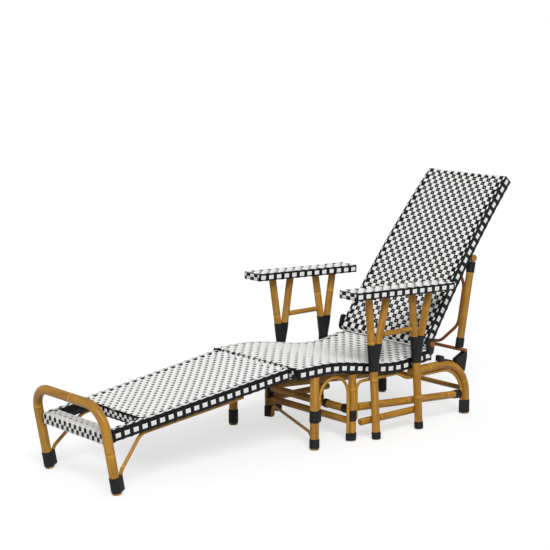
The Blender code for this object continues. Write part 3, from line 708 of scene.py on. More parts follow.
class Wire:
    """A shader socket that sums, multiplies and compares like a number."""

    def __init__(self, tree, socket=None):
        self.tree = tree
        self.socket = socket

    def node(self, kind, settings=None, sockets=None, output=0):
        """Any node, with its settings made first and then the values or links of its sockets."""
        made = self.tree.nodes.new(kind)
        for name, value in (settings or {}).items():
            setattr(made, name, value)
        for name, value in (sockets or {}).items():
            connect(made, name, value)
        return Wire(self.tree, made.outputs[output])

    def field(self, name, output):
        """Attribute of the mesh."""
        return self.node("ShaderNodeAttribute", {"attribute_name": name}, output=output)

    def math(self, operation, *values):
        return self.node("ShaderNodeMath", {"operation": operation}, dict(enumerate(values)))

    def __add__(self, other):
        return self.math("ADD", self, other)

    def __radd__(self, other):
        return self.math("ADD", other, self)

    def __sub__(self, other):
        return self.math("SUBTRACT", self, other)

    def __rsub__(self, other):
        return self.math("SUBTRACT", other, self)

    def __mul__(self, other):
        return self.math("MULTIPLY", self, other)

    def __rmul__(self, other):
        return self.math("MULTIPLY", other, self)

    def __pow__(self, other):
        return self.math("POWER", self, other)

    def __rpow__(self, other):
        return self.math("POWER", other, self)

    def __lt__(self, other):
        return self.math("LESS_THAN", self, other)

    def __gt__(self, other):
        return self.math("GREATER_THAN", self, other)

    def __abs__(self):
        return self.math("ABSOLUTE", self)

    def whole(self):
        return self.math("FLOOR", self)

    def fraction(self):
        return self.math("FRACT", self)

    def wrapped(self, size):
        """Remainder after steps of size, never negative."""
        return self.math("FLOORED_MODULO", self, size)

    def bell(self, width):
        """exp(-(x / width)^2), a soft line where the value is zero."""
        return self.math("EXPONENT", (self * (1 / width)) ** 2.0 * -1.0)

    def noise(self, scale, detail=2.0):
        return self.node("ShaderNodeTexNoise", {}, {"Vector": self, "Scale": scale, "Detail": detail}, "Fac")

    def grain(self, stretch, scale, detail):
        """Noise that is drawn out along some of its axes."""
        drawn = self.node("ShaderNodeVectorMath", {"operation": "MULTIPLY"}, {0: self, 1: stretch})
        return drawn.noise(scale, detail)

    def part(self, axis):
        """One of a vector's three numbers."""
        return self.node("ShaderNodeSeparateXYZ", {}, {0: self}, axis)

    def between(self, one, two):
        """Colour that goes from one to two as the value goes from 0 to 1."""
        return self.node("ShaderNodeMix", {"data_type": "RGBA"}, {0: self, 6: one, 7: two}, 2)

    def bump(self, strength, distance):
        sockets = {"Strength": strength, "Distance": distance, "Height": self}
        return self.node("ShaderNodeBump", {}, sockets)


def connect(node, name, value):
    """Link a wire to a socket, or set the value of the socket."""
    if isinstance(value, Wire):
        value.tree.links.new(value.socket, node.inputs[name])
    else:
        node.inputs[name].default_value = value


def put(shader, **sockets):
    for name, value in sockets.items():
        connect(shader, name.replace("_", " "), value)


def new_finish(name):
    """Empty procedural material and a wire to start its nodes from."""
    finish = bpy.data.materials.new(name)
    finish.use_nodes = True
    return finish, finish.node_tree.nodes["Principled BSDF"], Wire(finish.node_tree)


def shade(colour, factor=1.0):
    """The colour times a factor, as the four numbers of a socket."""
    return (*(min(1.0, c * factor) for c in colour), 1.0)


def cane_finish(name, pale, deep):
    """Varnished cane: long fibres, soft blotches, a dark line at each joint and a paler band beside it."""
    finish, shader, start = new_finish(name)
    lay = start.field("lay", "Vector")
    joint = start.field("joint", "Fac")
    fibre = lay.grain(*CANE_FIBRE)
    streak = lay.grain(*CANE_STREAK)
    blotch = lay.grain(*CANE_BLOTCH)
    line = joint.bell(LINE_WIDTH)
    band = (joint - BAND_AT).bell(BAND_WIDTH)
    mix = fibre * 1.1 + streak * 1.0 + blotch * 0.8 - 0.95
    base = mix.between(shade(deep), shade(pale))
    base = (band * BAND_LIGHT).between(base, shade(pale, 1.25))
    base = (line * LINE_DARK).between(base, shade(deep, 0.45))
    put(shader, Base_Color=base, Roughness=CANE_ROUGH + fibre * 0.22 + line * 0.2,
        Normal=(fibre + streak * 0.5 - line * 1.2).bump(*CANE_BUMP), **CANE_GLOSS)
    return finish


def weave_finish(name, white, black):
    """Dyed strands: grained white and black floats, grey flanks and a grey gap down each pair and across each
    cell edge, all painted shade, and a light pinhole.
    """
    finish, shader, start = new_finish(name)
    lay = start.field("lay", "Vector")
    tone = start.field("tone", "Fac")
    u, v, length = (lay.part(axis) for axis in range(3))
    share = length.fraction()
    panel = share > LEAST_SHARE
    row = u.whole().wrapped(2.0)
    off = (v + 0.5 - row).wrapped(2.0) - 1.0
    grain_white = lay.grain(*WHITE_GRAIN)
    grain_black = lay.grain(*BLACK_GRAIN)
    age = lay.noise(AGE_SCALE)
    part_u = u.fraction() - 0.5
    part_v = v.fraction() - 0.5
    float_up = (abs(off) < share) * (abs(part_u) < FLOAT_HALF)
    tone = tone * (1 - panel * (1 - float_up))
    # Grey of the painted shade in the weave's gaps and on the flanks of its floats
    painted_shade = shade(white, 0.45)
    pale = (grain_white * 0.5 + age * 0.5).between(shade(white, 0.93), shade(white))
    # Painted shade: grey lines down the gap between the two strands of a float and across each cell edge
    pale = (part_u.bell(PAIR_WIDTH) * PAIR_SHADE).between(pale, painted_shade)
    pale = (part_v.bell(CROSS_WIDTH) * CROSS_SHADE).between(pale, painted_shade)
    # Painted shade: grey bands along the flanks of the floats, between neighbouring columns
    flank = (abs(part_u) - 0.5).bell(FLANK_WIDTH) * panel
    pale = (flank * FLANK_SHADE).between(pale, painted_shade)
    dark = (grain_black * 0.7 + age * 0.3).between(shade(black, 0.6), shade(black, 1.6))
    dot = (part_u * part_u + part_v * part_v).bell(PINHOLE_WIDTH) * panel
    dark = (dot * PINHOLE_LIGHT).between(dark, shade(white, 0.6))
    rough = tone * 0.12 + WEAVE_ROUGH + grain_white * 0.1
    put(shader, Base_Color=tone.between(dark, pale), Roughness=rough, Specular_IOR_Level=WEAVE_GLOSS,
        Normal=(grain_white * tone + grain_black * (1 - tone)).bump(*WEAVE_BUMP))
    return finish


def binding_finish(name, colour, attribute=True):
    """Wound black strand: every turn a slightly different black, satin crowns, and dull grooves darkened with
    painted shade.
    """
    finish, shader, start = new_finish(name)
    if attribute:
        lay = start.field("lay", "Vector")
        turn = lay.part(1)
    else:
        lay = start.node("ShaderNodeTexCoord", output="Object")
        turn = lay.part(1) * RACK_TURNS
    tint = start.node("ShaderNodeTexWhiteNoise", {"noise_dimensions": "1D"}, {"W": turn.whole()}, "Value")
    inside = turn.fraction() - 0.5
    groove = 1 - inside.bell(GROOVE_REACH)
    grain = lay.grain(*WOUND_GRAIN)
    base = (tint * 0.6 + grain * 0.4).between(shade(colour, 0.7), shade(colour, 1.7))
    # Painted shade: the colour is darker in the groove between turns
    base = (groove * GROOVE_SHADE).between(base, shade(colour, 0.35))
    put(shader, Base_Color=base, Roughness=WOUND_ROUGH + groove * 0.3 + grain * 0.12,
        Specular_IOR_Level=WOUND_GLOSS, Normal=(inside.bell(CROWN_REACH) + grain * 0.2).bump(*WOUND_BUMP))
    return finish


class ChaiseCane(bpy.types.PropertyGroup):
    """Sizes and colours of the cane poles."""

    joint_gap: bpy.props.FloatProperty(
        name="Joint gap", description="Distance between the cane's joints",
        default=0.29, min=0.05, unit="LENGTH")
    joint_swell: bpy.props.FloatProperty(
        name="Joint swell", description="How far a joint's ring stands out, as a share of the radius",
        default=0.02, subtype="FACTOR")
    pale: bpy.props.FloatVectorProperty(
        name="Pale cane", description="Lit colour of the poles",
        default=(0.66, 0.335, 0.034), subtype="COLOR")
    deep: bpy.props.FloatVectorProperty(
        name="Deep cane", description="Darker fibres of the poles",
        default=(0.18, 0.064, 0.003), subtype="COLOR")
    red: bpy.props.FloatVectorProperty(
        name="Red cane", description="Colour of the reddish cane",
        default=(0.40, 0.12, 0.022), subtype="COLOR")


class ChaiseWeave(bpy.types.PropertyGroup):
    """Sizes and colours of the woven panels."""

    white: bpy.props.FloatVectorProperty(
        name="White strand", description="Colour of the white strands",
        default=(0.95, 0.95, 0.935), subtype="COLOR")
    black: bpy.props.FloatVectorProperty(
        name="Black strand", description="Colour of the black strands",
        default=(0.006, 0.0065, 0.007), subtype="COLOR")
    white_rise: bpy.props.FloatProperty(
        name="White rise", description="Height of the white floats", default=0.0052, unit="LENGTH")
    black_rise: bpy.props.FloatProperty(
        name="Black rise", description="Height of the black floats", default=0.0016, unit="LENGTH")
    columns: bpy.props.IntProperty(
        name="Columns", description="Cells across a panel", default=22, min=4)


class ChaiseBinding(bpy.types.PropertyGroup):
    """Sizes and colour of the wound bindings."""

    colour: bpy.props.FloatVectorProperty(
        name="Binding", description="Colour of the wound strand",
        default=(0.007, 0.008, 0.009), subtype="COLOR")
    thickness: bpy.props.FloatProperty(
        name="Thickness", description="Thickness of the winding", default=0.0022, unit="LENGTH")
    strand: bpy.props.FloatProperty(
        name="Strand", description="Width of the wound strand", default=0.0045, unit="LENGTH")


class ChaiseStage(bpy.types.PropertyGroup):
    """Camera, floor and light."""

    azimuth: bpy.props.FloatProperty(
        name="Azimuth", description="Camera's turn round the chaise",
        default=math.radians(49.157), subtype="ANGLE")
    elevation: bpy.props.FloatProperty(
        name="Elevation", description="Camera's rise above the horizon",
        default=math.radians(9.852), subtype="ANGLE")
    distance: bpy.props.FloatProperty(
        name="Distance", description="From the camera to its target", default=6.0, unit="LENGTH")
    target: bpy.props.FloatVectorProperty(
        name="Target", description="Point the camera looks at, from the front legs",
        default=(0.0, 0.0115, 0.624), subtype="XYZ")
    lens: bpy.props.FloatProperty(
        name="Lens", description="Focal length for a 36 mm sensor", default=104.76)
    floor: bpy.props.FloatVectorProperty(
        name="Floor", description="Colour of the floor", default=(0.44, 0.44, 0.44), subtype="COLOR")
    glow: bpy.props.FloatProperty(
        name="Floor glow", description="White that the floor shows the camera besides its own colour",
        default=0.62)
    sky: bpy.props.FloatProperty(name="Sky", description="Strength of the even light", default=0.46)
    sun: bpy.props.FloatProperty(name="Key", description="Strength of the soft key light", default=2.1)
    sun_spread: bpy.props.FloatProperty(
        name="Key spread", description="Angle over which the key light is spread",
        default=math.radians(30.0), subtype="ANGLE")
    sun_turn: bpy.props.FloatVectorProperty(
        name="Key turn", description="Rotation of the key light",
        default=(math.radians(45.0), 0.0, math.radians(56.0)), subtype="EULER")


def box_run(node):
    """Straight centre line of a pole that lies along one axis, from its CAD box."""
    low, high = span(node)
    axis = int((high - low).argmax())
    ends = np.stack([(low + high) / 2] * 2)
    ends[0, axis], ends[1, axis] = low[axis], high[axis]
    return ends


def post_line(y):
    """Foot, top and lean of a splayed arm post on the +X side, and its x at a height."""
    tie = float(seat_top(y)) - EDGE_ROUND
    lean = math.atan2(POST_SPLAY, tie)
    edge = SEAT_HALF + GAP + POST_R / math.cos(lean)

    def x_at(z):
        return edge + POST_SPLAY * (1 - z / tie)

    foot_z = POST_R * math.sin(lean)
    return (np.array((x_at(foot_z), y, foot_z)),
            np.array((x_at(POST_TOP), y, POST_TOP - foot_z)), lean, x_at)


def pad_top(y):
    return PAD_TOP - PAD_FALL * (y - PAD_FRONT) / PAD_LENGTH


def fork_corners(y):
    """Front tip, lower corner and rear tip of the hairpin that carries the arm pad, on the +X side."""
    tips = []
    for step in FORK_REACH:
        tilt = math.atan2(abs(step), pad_top(y) - PAD_THICK - POST_TOP)
        z = pad_top(y + step + FORK_R) - PAD_THICK - GAP - FORK_R * math.sin(tilt)
        tips.append(np.array((PAD_MIDDLE, y + step, z)))
    _, top, lean, _ = post_line(y)
    corner = np.array((top[0], y, POST_TOP - FORK_START))
    for _ in range(FORK_ROUNDS):
        one, two = unit(tips[0] - corner), unit(tips[1] - corner)
        half = math.acos(float(one @ two)) / 2
        drop = FORK_BEND * (1 / math.sin(half) - 1) * unit(one + two)[2]
        corner[2] = top[2] + GAP + FORK_R / math.cos(lean) - drop
    return tips[0], corner, tips[1]


def mirrored(points, side):
    return np.asarray(points, float) * (side, 1, 1)


def arch_frame():
    """Base of the footrest's arch, its upward and its backward direction."""
    up = np.array((0, -math.sin(ARCH_LEAN), math.cos(ARCH_LEAN)))
    back = np.array((0, math.cos(ARCH_LEAN), math.sin(ARCH_LEAN)))
    foot = FOOT_HEAD - FOOT_LENGTH
    sole = LEG_R * math.sin(ARCH_LEAN)
    level = float(foot_top(foot)) - EDGE_HEIGHT / 2
    base = np.array((0, foot + ARCH_AHEAD + math.tan(ARCH_LEAN) * (level - sole), sole))
    return base, up, back


def prop_frame():
    """Pivot, downward direction, length and sideways normal of the prop."""
    top = on_back(0.0, ROD_AT, ROD_BEHIND)
    foot = np.array((0.0, *PROP_FOOT))
    down = unit(foot - top)
    return top, down, float(np.linalg.norm(foot - top)), np.cross(down, X_AXIS)


def side_runs(add, side, word):
    """Legs, stretcher, thin braces and arm posts of one side."""
    x = side * LEG_X
    for node, diameter in SIDE_POLES:
        add(node + word, box_run(node + word), diameter)
    low, high = span("long_stretcher_" + word)
    ends = [(x, low[1] + STRETCHER_END, STRETCHER_Z[0]), (x, high[1] - STRETCHER_END, STRETCHER_Z[1])]
    add("long_stretcher_" + word, ends, 2 * STRETCHER_R)
    tube = span("rear_leg_" + word)[1][2] - LEG_R
    spots = [(x, TUBE_FRONT, tube), (x, REAR_Y, tube), (x, REAR_Y, 0)]
    add("rear_leg_" + word, bent(spots, [REAR_BEND]), 2 * LEG_R)
    top = span("leg_arch_" + word)[1][2] - THIN_R
    near, far = BESIDE_LEG, SECOND_Y - BESIDE_SECOND
    spots = [(x, near, LEG_ARCH_LOW), (x, near, top), (x, far, top), (x, far, THIN_R)]
    add("leg_arch_" + word, bent(spots, [LEG_ARCH_BEND] * 2), 2 * THIN_R, finish="thin")
    top, under = span("long_brace_" + word)[1][2] - THIN_R, tube - BESIDE_LEG
    near, far = SECOND_Y + BESIDE_SECOND, REAR_Y - BESIDE_LEG
    step, fall = LONG_BRACE_STEP
    spots = [(x, near, LONG_BRACE_LOW), (x, near, top), (x, step, top), (x, fall, under),
             (x, far, under), (x, far, THIN_R)]
    add("long_brace_" + word, bent(spots, LONG_BRACE_BENDS), 2 * THIN_R, finish="thin")
    for label, y in POSTS:
        foot, top, _, _ = post_line(y)
        add(f"arm_post_{label}_{word}", mirrored([foot, top], side), 2 * POST_R)
        fork = mirrored(fork_corners(y), side)
        add(f"arm_fork_{label}_{word}", bent(fork, [FORK_BEND]), 2 * FORK_R)


def footrest_runs(add):
    """Arch of the footrest and its two thin braces."""
    base, up, back = arch_frame()
    right, left = base - ARCH_HALF * X_AXIS, base + ARCH_HALF * X_AXIS
    rise = up * ((ARCH_TOP - base[2]) / math.cos(ARCH_LEAN))
    spots = [right, right + rise, left + rise, left]
    add("footrest_arch", bent(spots, [ARCH_BEND] * 2), 2 * LEG_R, back, body="footrest")
    opening = FOOT_HEAD - FOOT_LENGTH + FOOT_OPENING
    for side, word in SIDES:
        spots = [base + back * BESIDE_ARCH + up * BRACE_R + side * ARCH_HALF * X_AXIS]
        spots.append(spots[0] + up * ARCH_BRACE_RISE)
        for step in ARCH_BRACE_RUN:
            y = opening + step
            x = side * (foot_half(y) - EDGE_WIDTH / 2)
            spots.append(np.array((x, y, foot_top(y) - EDGE_HEIGHT - ARCH_BRACE_DROP)))
        add("footrest_brace_" + word, bent(spots, ARCH_BRACE_BENDS), 2 * BRACE_R, X_AXIS, "thin", "footrest")


def prop_runs(add):
    """Posts of the prop and the thin brace between them."""
    top, down, length, out = prop_frame()
    sole = length - PROP_FOOT_R - GAP
    for side, word in SIDES:
        hang = top + side * PROP_X * X_AXIS
        ends = [hang + down * (ROD_R + PROP_GAP), hang + down * sole]
        add("prop_post_" + word, ends, 2 * PROP_R, body="prop")
    inner = PROP_X - BESIDE_PROP
    high, low = PROP_BRACE_AT
    spots = [(inner - PROP_BRACE_IN[0], ROD_R + PROP_BRACE_TOP), (inner, high * length),
             (inner, low * length), (inner - PROP_BRACE_IN[1], sole - BRACE_R)]
    spots += [(-a, b) for a, b in spots[::-1]]
    path = bent([top + a * X_AXIS + b * down for a, b in spots], [PROP_BRACE_BEND] * (len(spots) - 2))
    add("prop_brace", path, 2 * BRACE_R, out, "red", "prop")


def cane_runs():
    """Every round pole as node, centre line, diameter, reference direction, finish and body."""
    runs = []

    def add(node, path, diameter, side=X_AXIS, finish="cane", body="seat_frame"):
        runs.append((node, np.asarray(path, float), diameter, np.asarray(side, float), finish, body))

    for node, diameter, finish, body in CROSS_POLES:
        add(node, box_run(node), diameter, Z_AXIS, finish, body)
    for side, word in SIDES:
        side_runs(add, side, word)
    start, end = np.array((-LEG_X, SECOND_Y, THIN_R)), np.array((LEG_X, 0, THIN_R))
    along = unit(end - start)
    start, end = start + along * BESIDE_SECOND, end - along * BESIDE_LEG
    lift = BOW_LIFT * Z_AXIS
    bow = bent([start, start + lift, end + lift, end], [BOW_BEND] * 2)
    add("cross_bow", bow, 2 * THIN_R, np.cross(along, Z_AXIS), "thin")
    footrest_runs(add)
    prop_runs(add)
    return runs


class CHAISE_OT_canes(bpy.types.Operator):
    """Build every cane pole"""

    bl_idname = "chaise.canes"
    bl_label = "Cane poles"

    def execute(self, context):
        colours = context.scene.chaise_cane
        pale, deep, red = list(colours.pale), list(colours.deep), list(colours.red)
        thin_pale, thin_deep = [c * THIN_PALE for c in pale], [c * THIN_DEEP for c in deep]
        finishes = {"cane": (cane_finish("cane_varnished", pale, deep), "cane"),
                    "thin": (cane_finish("cane_thin", thin_pale, thin_deep), "thin_cane"),
                    "red": (cane_finish("cane_red", red, [c * RED_DEEP for c in red]), "red_cane")}
        for seed, (node, path, diameter, side, finish, body) in enumerate(cane_runs()):
            made, slot = finishes[finish]
            piece(node + "_cane", [cane_skin(path, diameter, side, seed)], body, made, [node])
        return {"FINISHED"}


def woven_finish():
    found = bpy.data.materials.get("strands_woven")
    weave = bpy.context.scene.chaise_weave
    return found or weave_finish("strands_woven", list(weave.white), list(weave.black))


def bound_finish():
    found = bpy.data.materials.get("strand_bound")
    return found or binding_finish("strand_bound", list(bpy.context.scene.chaise_binding.colour))


def woven(node, skins, body):
    """Woven piece in place of its CAD node."""
    piece(node + "_woven", skins, body, woven_finish(), [node])


def edge_skin(path, side, pitch, centre=0.0):
    """Woven edge: a black bar with a row of white squares on its outer side."""
    return bar_skin(path, X_AXIS, EDGE_WIDTH / 2, EDGE_DEEP, pitch, "squares", OUTER[side],
                    radius=EDGE_SQUARE, centre=centre)


class CHAISE_OT_seat(bpy.types.Operator):
    """Build the wavy woven seat with its edges and bars"""

    bl_idname = "chaise.seat"
    bl_label = "Woven seat"

    def execute(self, context):
        low, high = SEAT_WAVE[0, 0], SEAT_WAVE[-1, 0]

        def place(x, s, h):
            return np.stack([x, s, seat_top(s) + h], -1)

        def half(s):
            return np.full_like(s, SEAT_HALF - PANEL_INSET)

        panel = slab_skin(place, half, low + PANEL_END, high - PANEL_END, context.scene.chaise_weave.columns,
                          SEAT_ROWS, PANEL_THICK, SEAT_SHARE, ridge=RIDGE, **PANEL_BORDER)
        woven("seat_weave", [panel], "seat_frame")
        y = np.linspace(low, high, SEAT_RINGS)
        for side, word in SIDES:
            x = np.full_like(y, side * (SEAT_HALF - EDGE_WIDTH / 2))
            path = np.stack([x, y, seat_top(y) - EDGE_DROP - EDGE_DEEP], -1)
            woven(f"seat_edge_{word}", [edge_skin(path, side, SEAT_PITCH)], "seat_frame")
        thick = BAR_WIDTH / 2
        inner = SEAT_HALF - EDGE_WIDTH
        for node, mid in (("seat_front_bar", low + thick), ("seat_rear_bar", high - thick)):
            level = min(float(seat_top(mid - thick)), float(seat_top(mid + thick)))
            z = level - BAR_DROP - EDGE_DEEP
            ends = np.array(((-inner, mid, z), (inner, mid, z)))
            bar = bar_skin(ends, Y_AXIS, thick, EDGE_DEEP, BAR_PITCH, "checker")
            woven(node, [bar], "seat_frame")
        return {"FINISHED"}


def lacing_cord(path):
    """Twisted white cord that fills the seam."""
    stations = np.linspace(0, run_length(path), CORD_RINGS)
    turn = full_turn(RING_POINTS)
    phase = stations[:, None] / CORD_TWIST + turn / (2 * np.pi)
    radius = CORD_R + CORD_CROWN * np.abs(np.sin(np.pi * phase)) ** 0.5
    rings = sweep(path, stations, radius * np.cos(turn), CORD_OVAL * radius * np.sin(turn), Z_AXIS)
    lay = np.stack([phase, np.broadcast_to(turn, phase.shape), np.zeros_like(phase)], -1)
    return skin(rings, lay=lay, tone=np.ones((len(stations) - 1, len(turn))))


def lacing_stitches(path):
    """Black lacing over and under the seam, thick where it is knotted."""
    x = np.linspace(path[0, 0], path[1, 0], 2 * LACING_TURNS - 1)
    step = np.arange(len(x))
    y = path[0, 1] + LACING_SWING * np.cos(np.pi * step / 2)
    dip = np.where(step % 4 == 3, LACING_DIP, 0.0)
    zigzag = np.stack([x, y, foot_top(FOOT_HEAD) + LACING_LIFT - dip], -1)
    stations = np.linspace(0, run_length(zigzag), LACING_RINGS)
    place_x = follow(zigzag, stations)[0][:, :1]
    knots = np.exp(-((place_x - LACING_KNOTS) / KNOT_WIDTH) ** 2).sum(1, keepdims=True)
    radius = LACING_R + KNOT_R * knots
    turn = full_turn(RING_POINTS)[::2]
    rings = sweep(zigzag, stations, radius * np.cos(turn), radius * np.sin(turn), Z_AXIS)
    along = stations[:, None] / LACING_TWIST
    lay = np.stack(np.broadcast_arrays(turn[None] / (2 * np.pi), along, 0.0), -1)
    return skin(rings, lay=lay)


class CHAISE_OT_footrest(bpy.types.Operator):
    """Build the woven footrest with its hand opening and the lacing at the seam"""

    bl_idname = "chaise.footrest"
    bl_label = "Woven footrest"

    def execute(self, context):
        columns = context.scene.chaise_weave.columns
        foot = FOOT_HEAD - FOOT_LENGTH
        bar_end, opening = foot + FOOT_BAR, foot + FOOT_OPENING

        def place(x, s, h):
            return np.stack([x, s, foot_top(s) + h], -1)

        panel = slab_skin(place, lambda s: foot_half(s) - PANEL_INSET, opening, FOOT_HEAD - PANEL_END,
                          columns, FOOT_ROWS, PANEL_THICK, FOOT_SHARE, ridge=RIDGE, **PANEL_BORDER)
        woven("footrest_weave", [panel], "footrest")
        y = np.linspace(foot + FOOT_BAR_INSET, FOOT_HEAD, FOOT_RINGS)
        for side, word in SIDES:

            def middle(s):
                return side * (foot_half(s) - EDGE_WIDTH / 2)

            path = np.stack([middle(y), y, foot_top(y) - EDGE_DROP - EDGE_DEEP], -1)
            top = slab_skin(lambda x, s, h: place(x + middle(s), s, h),
                            lambda s: np.full_like(s, EDGE_WIDTH / 2 - TOP_INSET),
                            bar_end, opening, *TOP_CELLS, TOP_THICK)
            woven(f"footrest_edge_{word}", [edge_skin(path, side, FOOT_PITCH), top], "footrest")
        tall = (EDGE_HEIGHT - BAR_DROP) / 2
        for node, low, high, inset, looks in (
                ("footrest_foot_bar", foot, bar_end, FOOT_BAR_INSET, FOOT_BAR_LOOKS),
                ("footrest_inner_bar", opening, opening + BAR_WIDTH, EDGE_WIDTH, {}),
                ("footrest_head_bar", FOOT_HEAD - BAR_WIDTH, FOOT_HEAD, EDGE_WIDTH, {})):
            mid, half = (low + high) / 2, (high - low) / 2
            reach = foot_half(mid) - inset
            z = float(foot_top(mid)) - BAR_DROP - tall
            ends = np.array(((-reach, mid, z), (reach, mid, z)))
            skins = [bar_skin(ends, Y_AXIS, half, tall, FOOT_BAR_PITCH, "checker", **looks)]
            if looks:
                skins.append(slab_skin(place, lambda s: foot_half(s) - TOP_INSET, low + TOP_END, high,
                                       columns, TOP_ROWS, TOP_THICK, TOP_SHARE, border=TOP_BORDER))
            woven(node, skins, "footrest")
        path = box_run("footrest_lacing")
        piece("footrest_lacing_cord", [lacing_cord(path)], "footrest", woven_finish(),
              ["footrest_lacing"])
        piece("footrest_lacing_zigzag", [lacing_stitches(path)], ("seat_frame", "footrest"), bound_finish())
        return {"FINISHED"}


class CHAISE_OT_back(bpy.types.Operator):
    """Build the woven back with its edges and bars"""

    bl_idname = "chaise.back"
    bl_label = "Woven back"

    def execute(self, context):
        panel = slab_skin(lambda x, s, h: on_back(x, s, -EDGE_HEIGHT / 2 - h),
                          lambda s: back_half(s) - BACK_INSET, BACK_LOW + PANEL_END, BACK_HIGH - PANEL_END,
                          context.scene.chaise_weave.columns, BACK_ROWS, PANEL_THICK, BACK_SHARE,
                          **PANEL_BORDER)
        woven("back_weave", [panel], "back")
        s = np.linspace(BACK_LOW, BACK_HIGH, BACK_RINGS)
        for side, word in SIDES:
            path = on_back(side * (back_half(s) - EDGE_WIDTH / 2), s, EDGE_DROP / 2)
            woven(f"back_edge_{word}", [edge_skin(path, side, BACK_PITCH, BACK_CENTRE)], "back")
        thick = BAR_WIDTH / 2
        for node, mid in (("back_bottom_bar", BACK_LOW + thick), ("back_top_bar", BACK_HIGH - thick)):
            inner = back_half(mid) - EDGE_WIDTH
            path = on_back(np.array((-inner, inner)), mid, BAR_DROP / 2)
            along = unit(on_back(0.0, mid + BACK_STEP, 0.0) - on_back(0.0, mid - BACK_STEP, 0.0))
            woven(node, [bar_skin(path, along, thick, EDGE_DEEP, BAR_PITCH, "checker")], "back")
        path = on_back(np.array((-BACK_HALF[0], BACK_HALF[0])), 0.0, 0.0)
        sleeve = bar_skin(path, -Y_AXIS, SLEEVE_R, SLEEVE_R, SLEEVE_PITCH, "checker", EVERY_SIDE,
                          radius=SLEEVE_ROUND)
        piece("hinge_rod_sleeve", [sleeve], "back", woven_finish())
        return {"FINISHED"}


class CHAISE_OT_arms(bpy.types.Operator):
    """Build the woven arm pads"""

    bl_idname = "chaise.arms"
    bl_label = "Woven arm pads"

    def execute(self, context):
        half = PAD_WIDTH / 2
        tall = (PAD_THICK - EDGE_DROP) / 2
        y = np.array((PAD_FRONT, PAD_FRONT + PAD_LENGTH))
        for side, word in SIDES:
            centre = side * PAD_MIDDLE

            def place(x, s, h):
                return np.stack([x + centre, s, pad_top(s) + h], -1)

            skins = [slab_skin(place, lambda s: np.full_like(s, half - PAD_INSET), y[0] + PAD_END,
                               y[1] - PAD_END, *PAD_CELLS, PAD_THICK, curl=PAD_CURL)]
            for out in (-1, 1):
                x = np.full_like(y, centre + out * (half - PAD_RIM))
                path = np.stack([x, y, pad_top(y) - EDGE_DROP - tall], -1)
                skins.append(bar_skin(path, X_AXIS, PAD_RIM, tall, PAD_PITCH, "squares", OUTER[out], PAD_TALL,
                                      radius=PAD_ROUND))
            for end, way, shown in zip(y, (1, -1), ((2,), (0,))):
                mid = end + way * PAD_RIM
                z = pad_top(mid) - EDGE_DROP - tall
                path = np.array(((centre - half + PAD_ROUND, mid, z), (centre + half - PAD_ROUND, mid, z)))
                skins.append(bar_skin(path, Y_AXIS, PAD_RIM, tall, PAD_PITCH, "checker", shown,
                                      radius=PAD_ROUND))
            woven(f"arm_pad_{word}", skins, "seat_frame")
        return {"FINISHED"}


def wind(name, path, side, circles, body="seat_frame", replaced=()):
    """Binding wound round the circles along a path."""
    wound = wrap_skin(np.asarray(path, float), np.asarray(side, float), circles)
    piece(name + "_binding", [wound], body, bound_finish(), replaced)


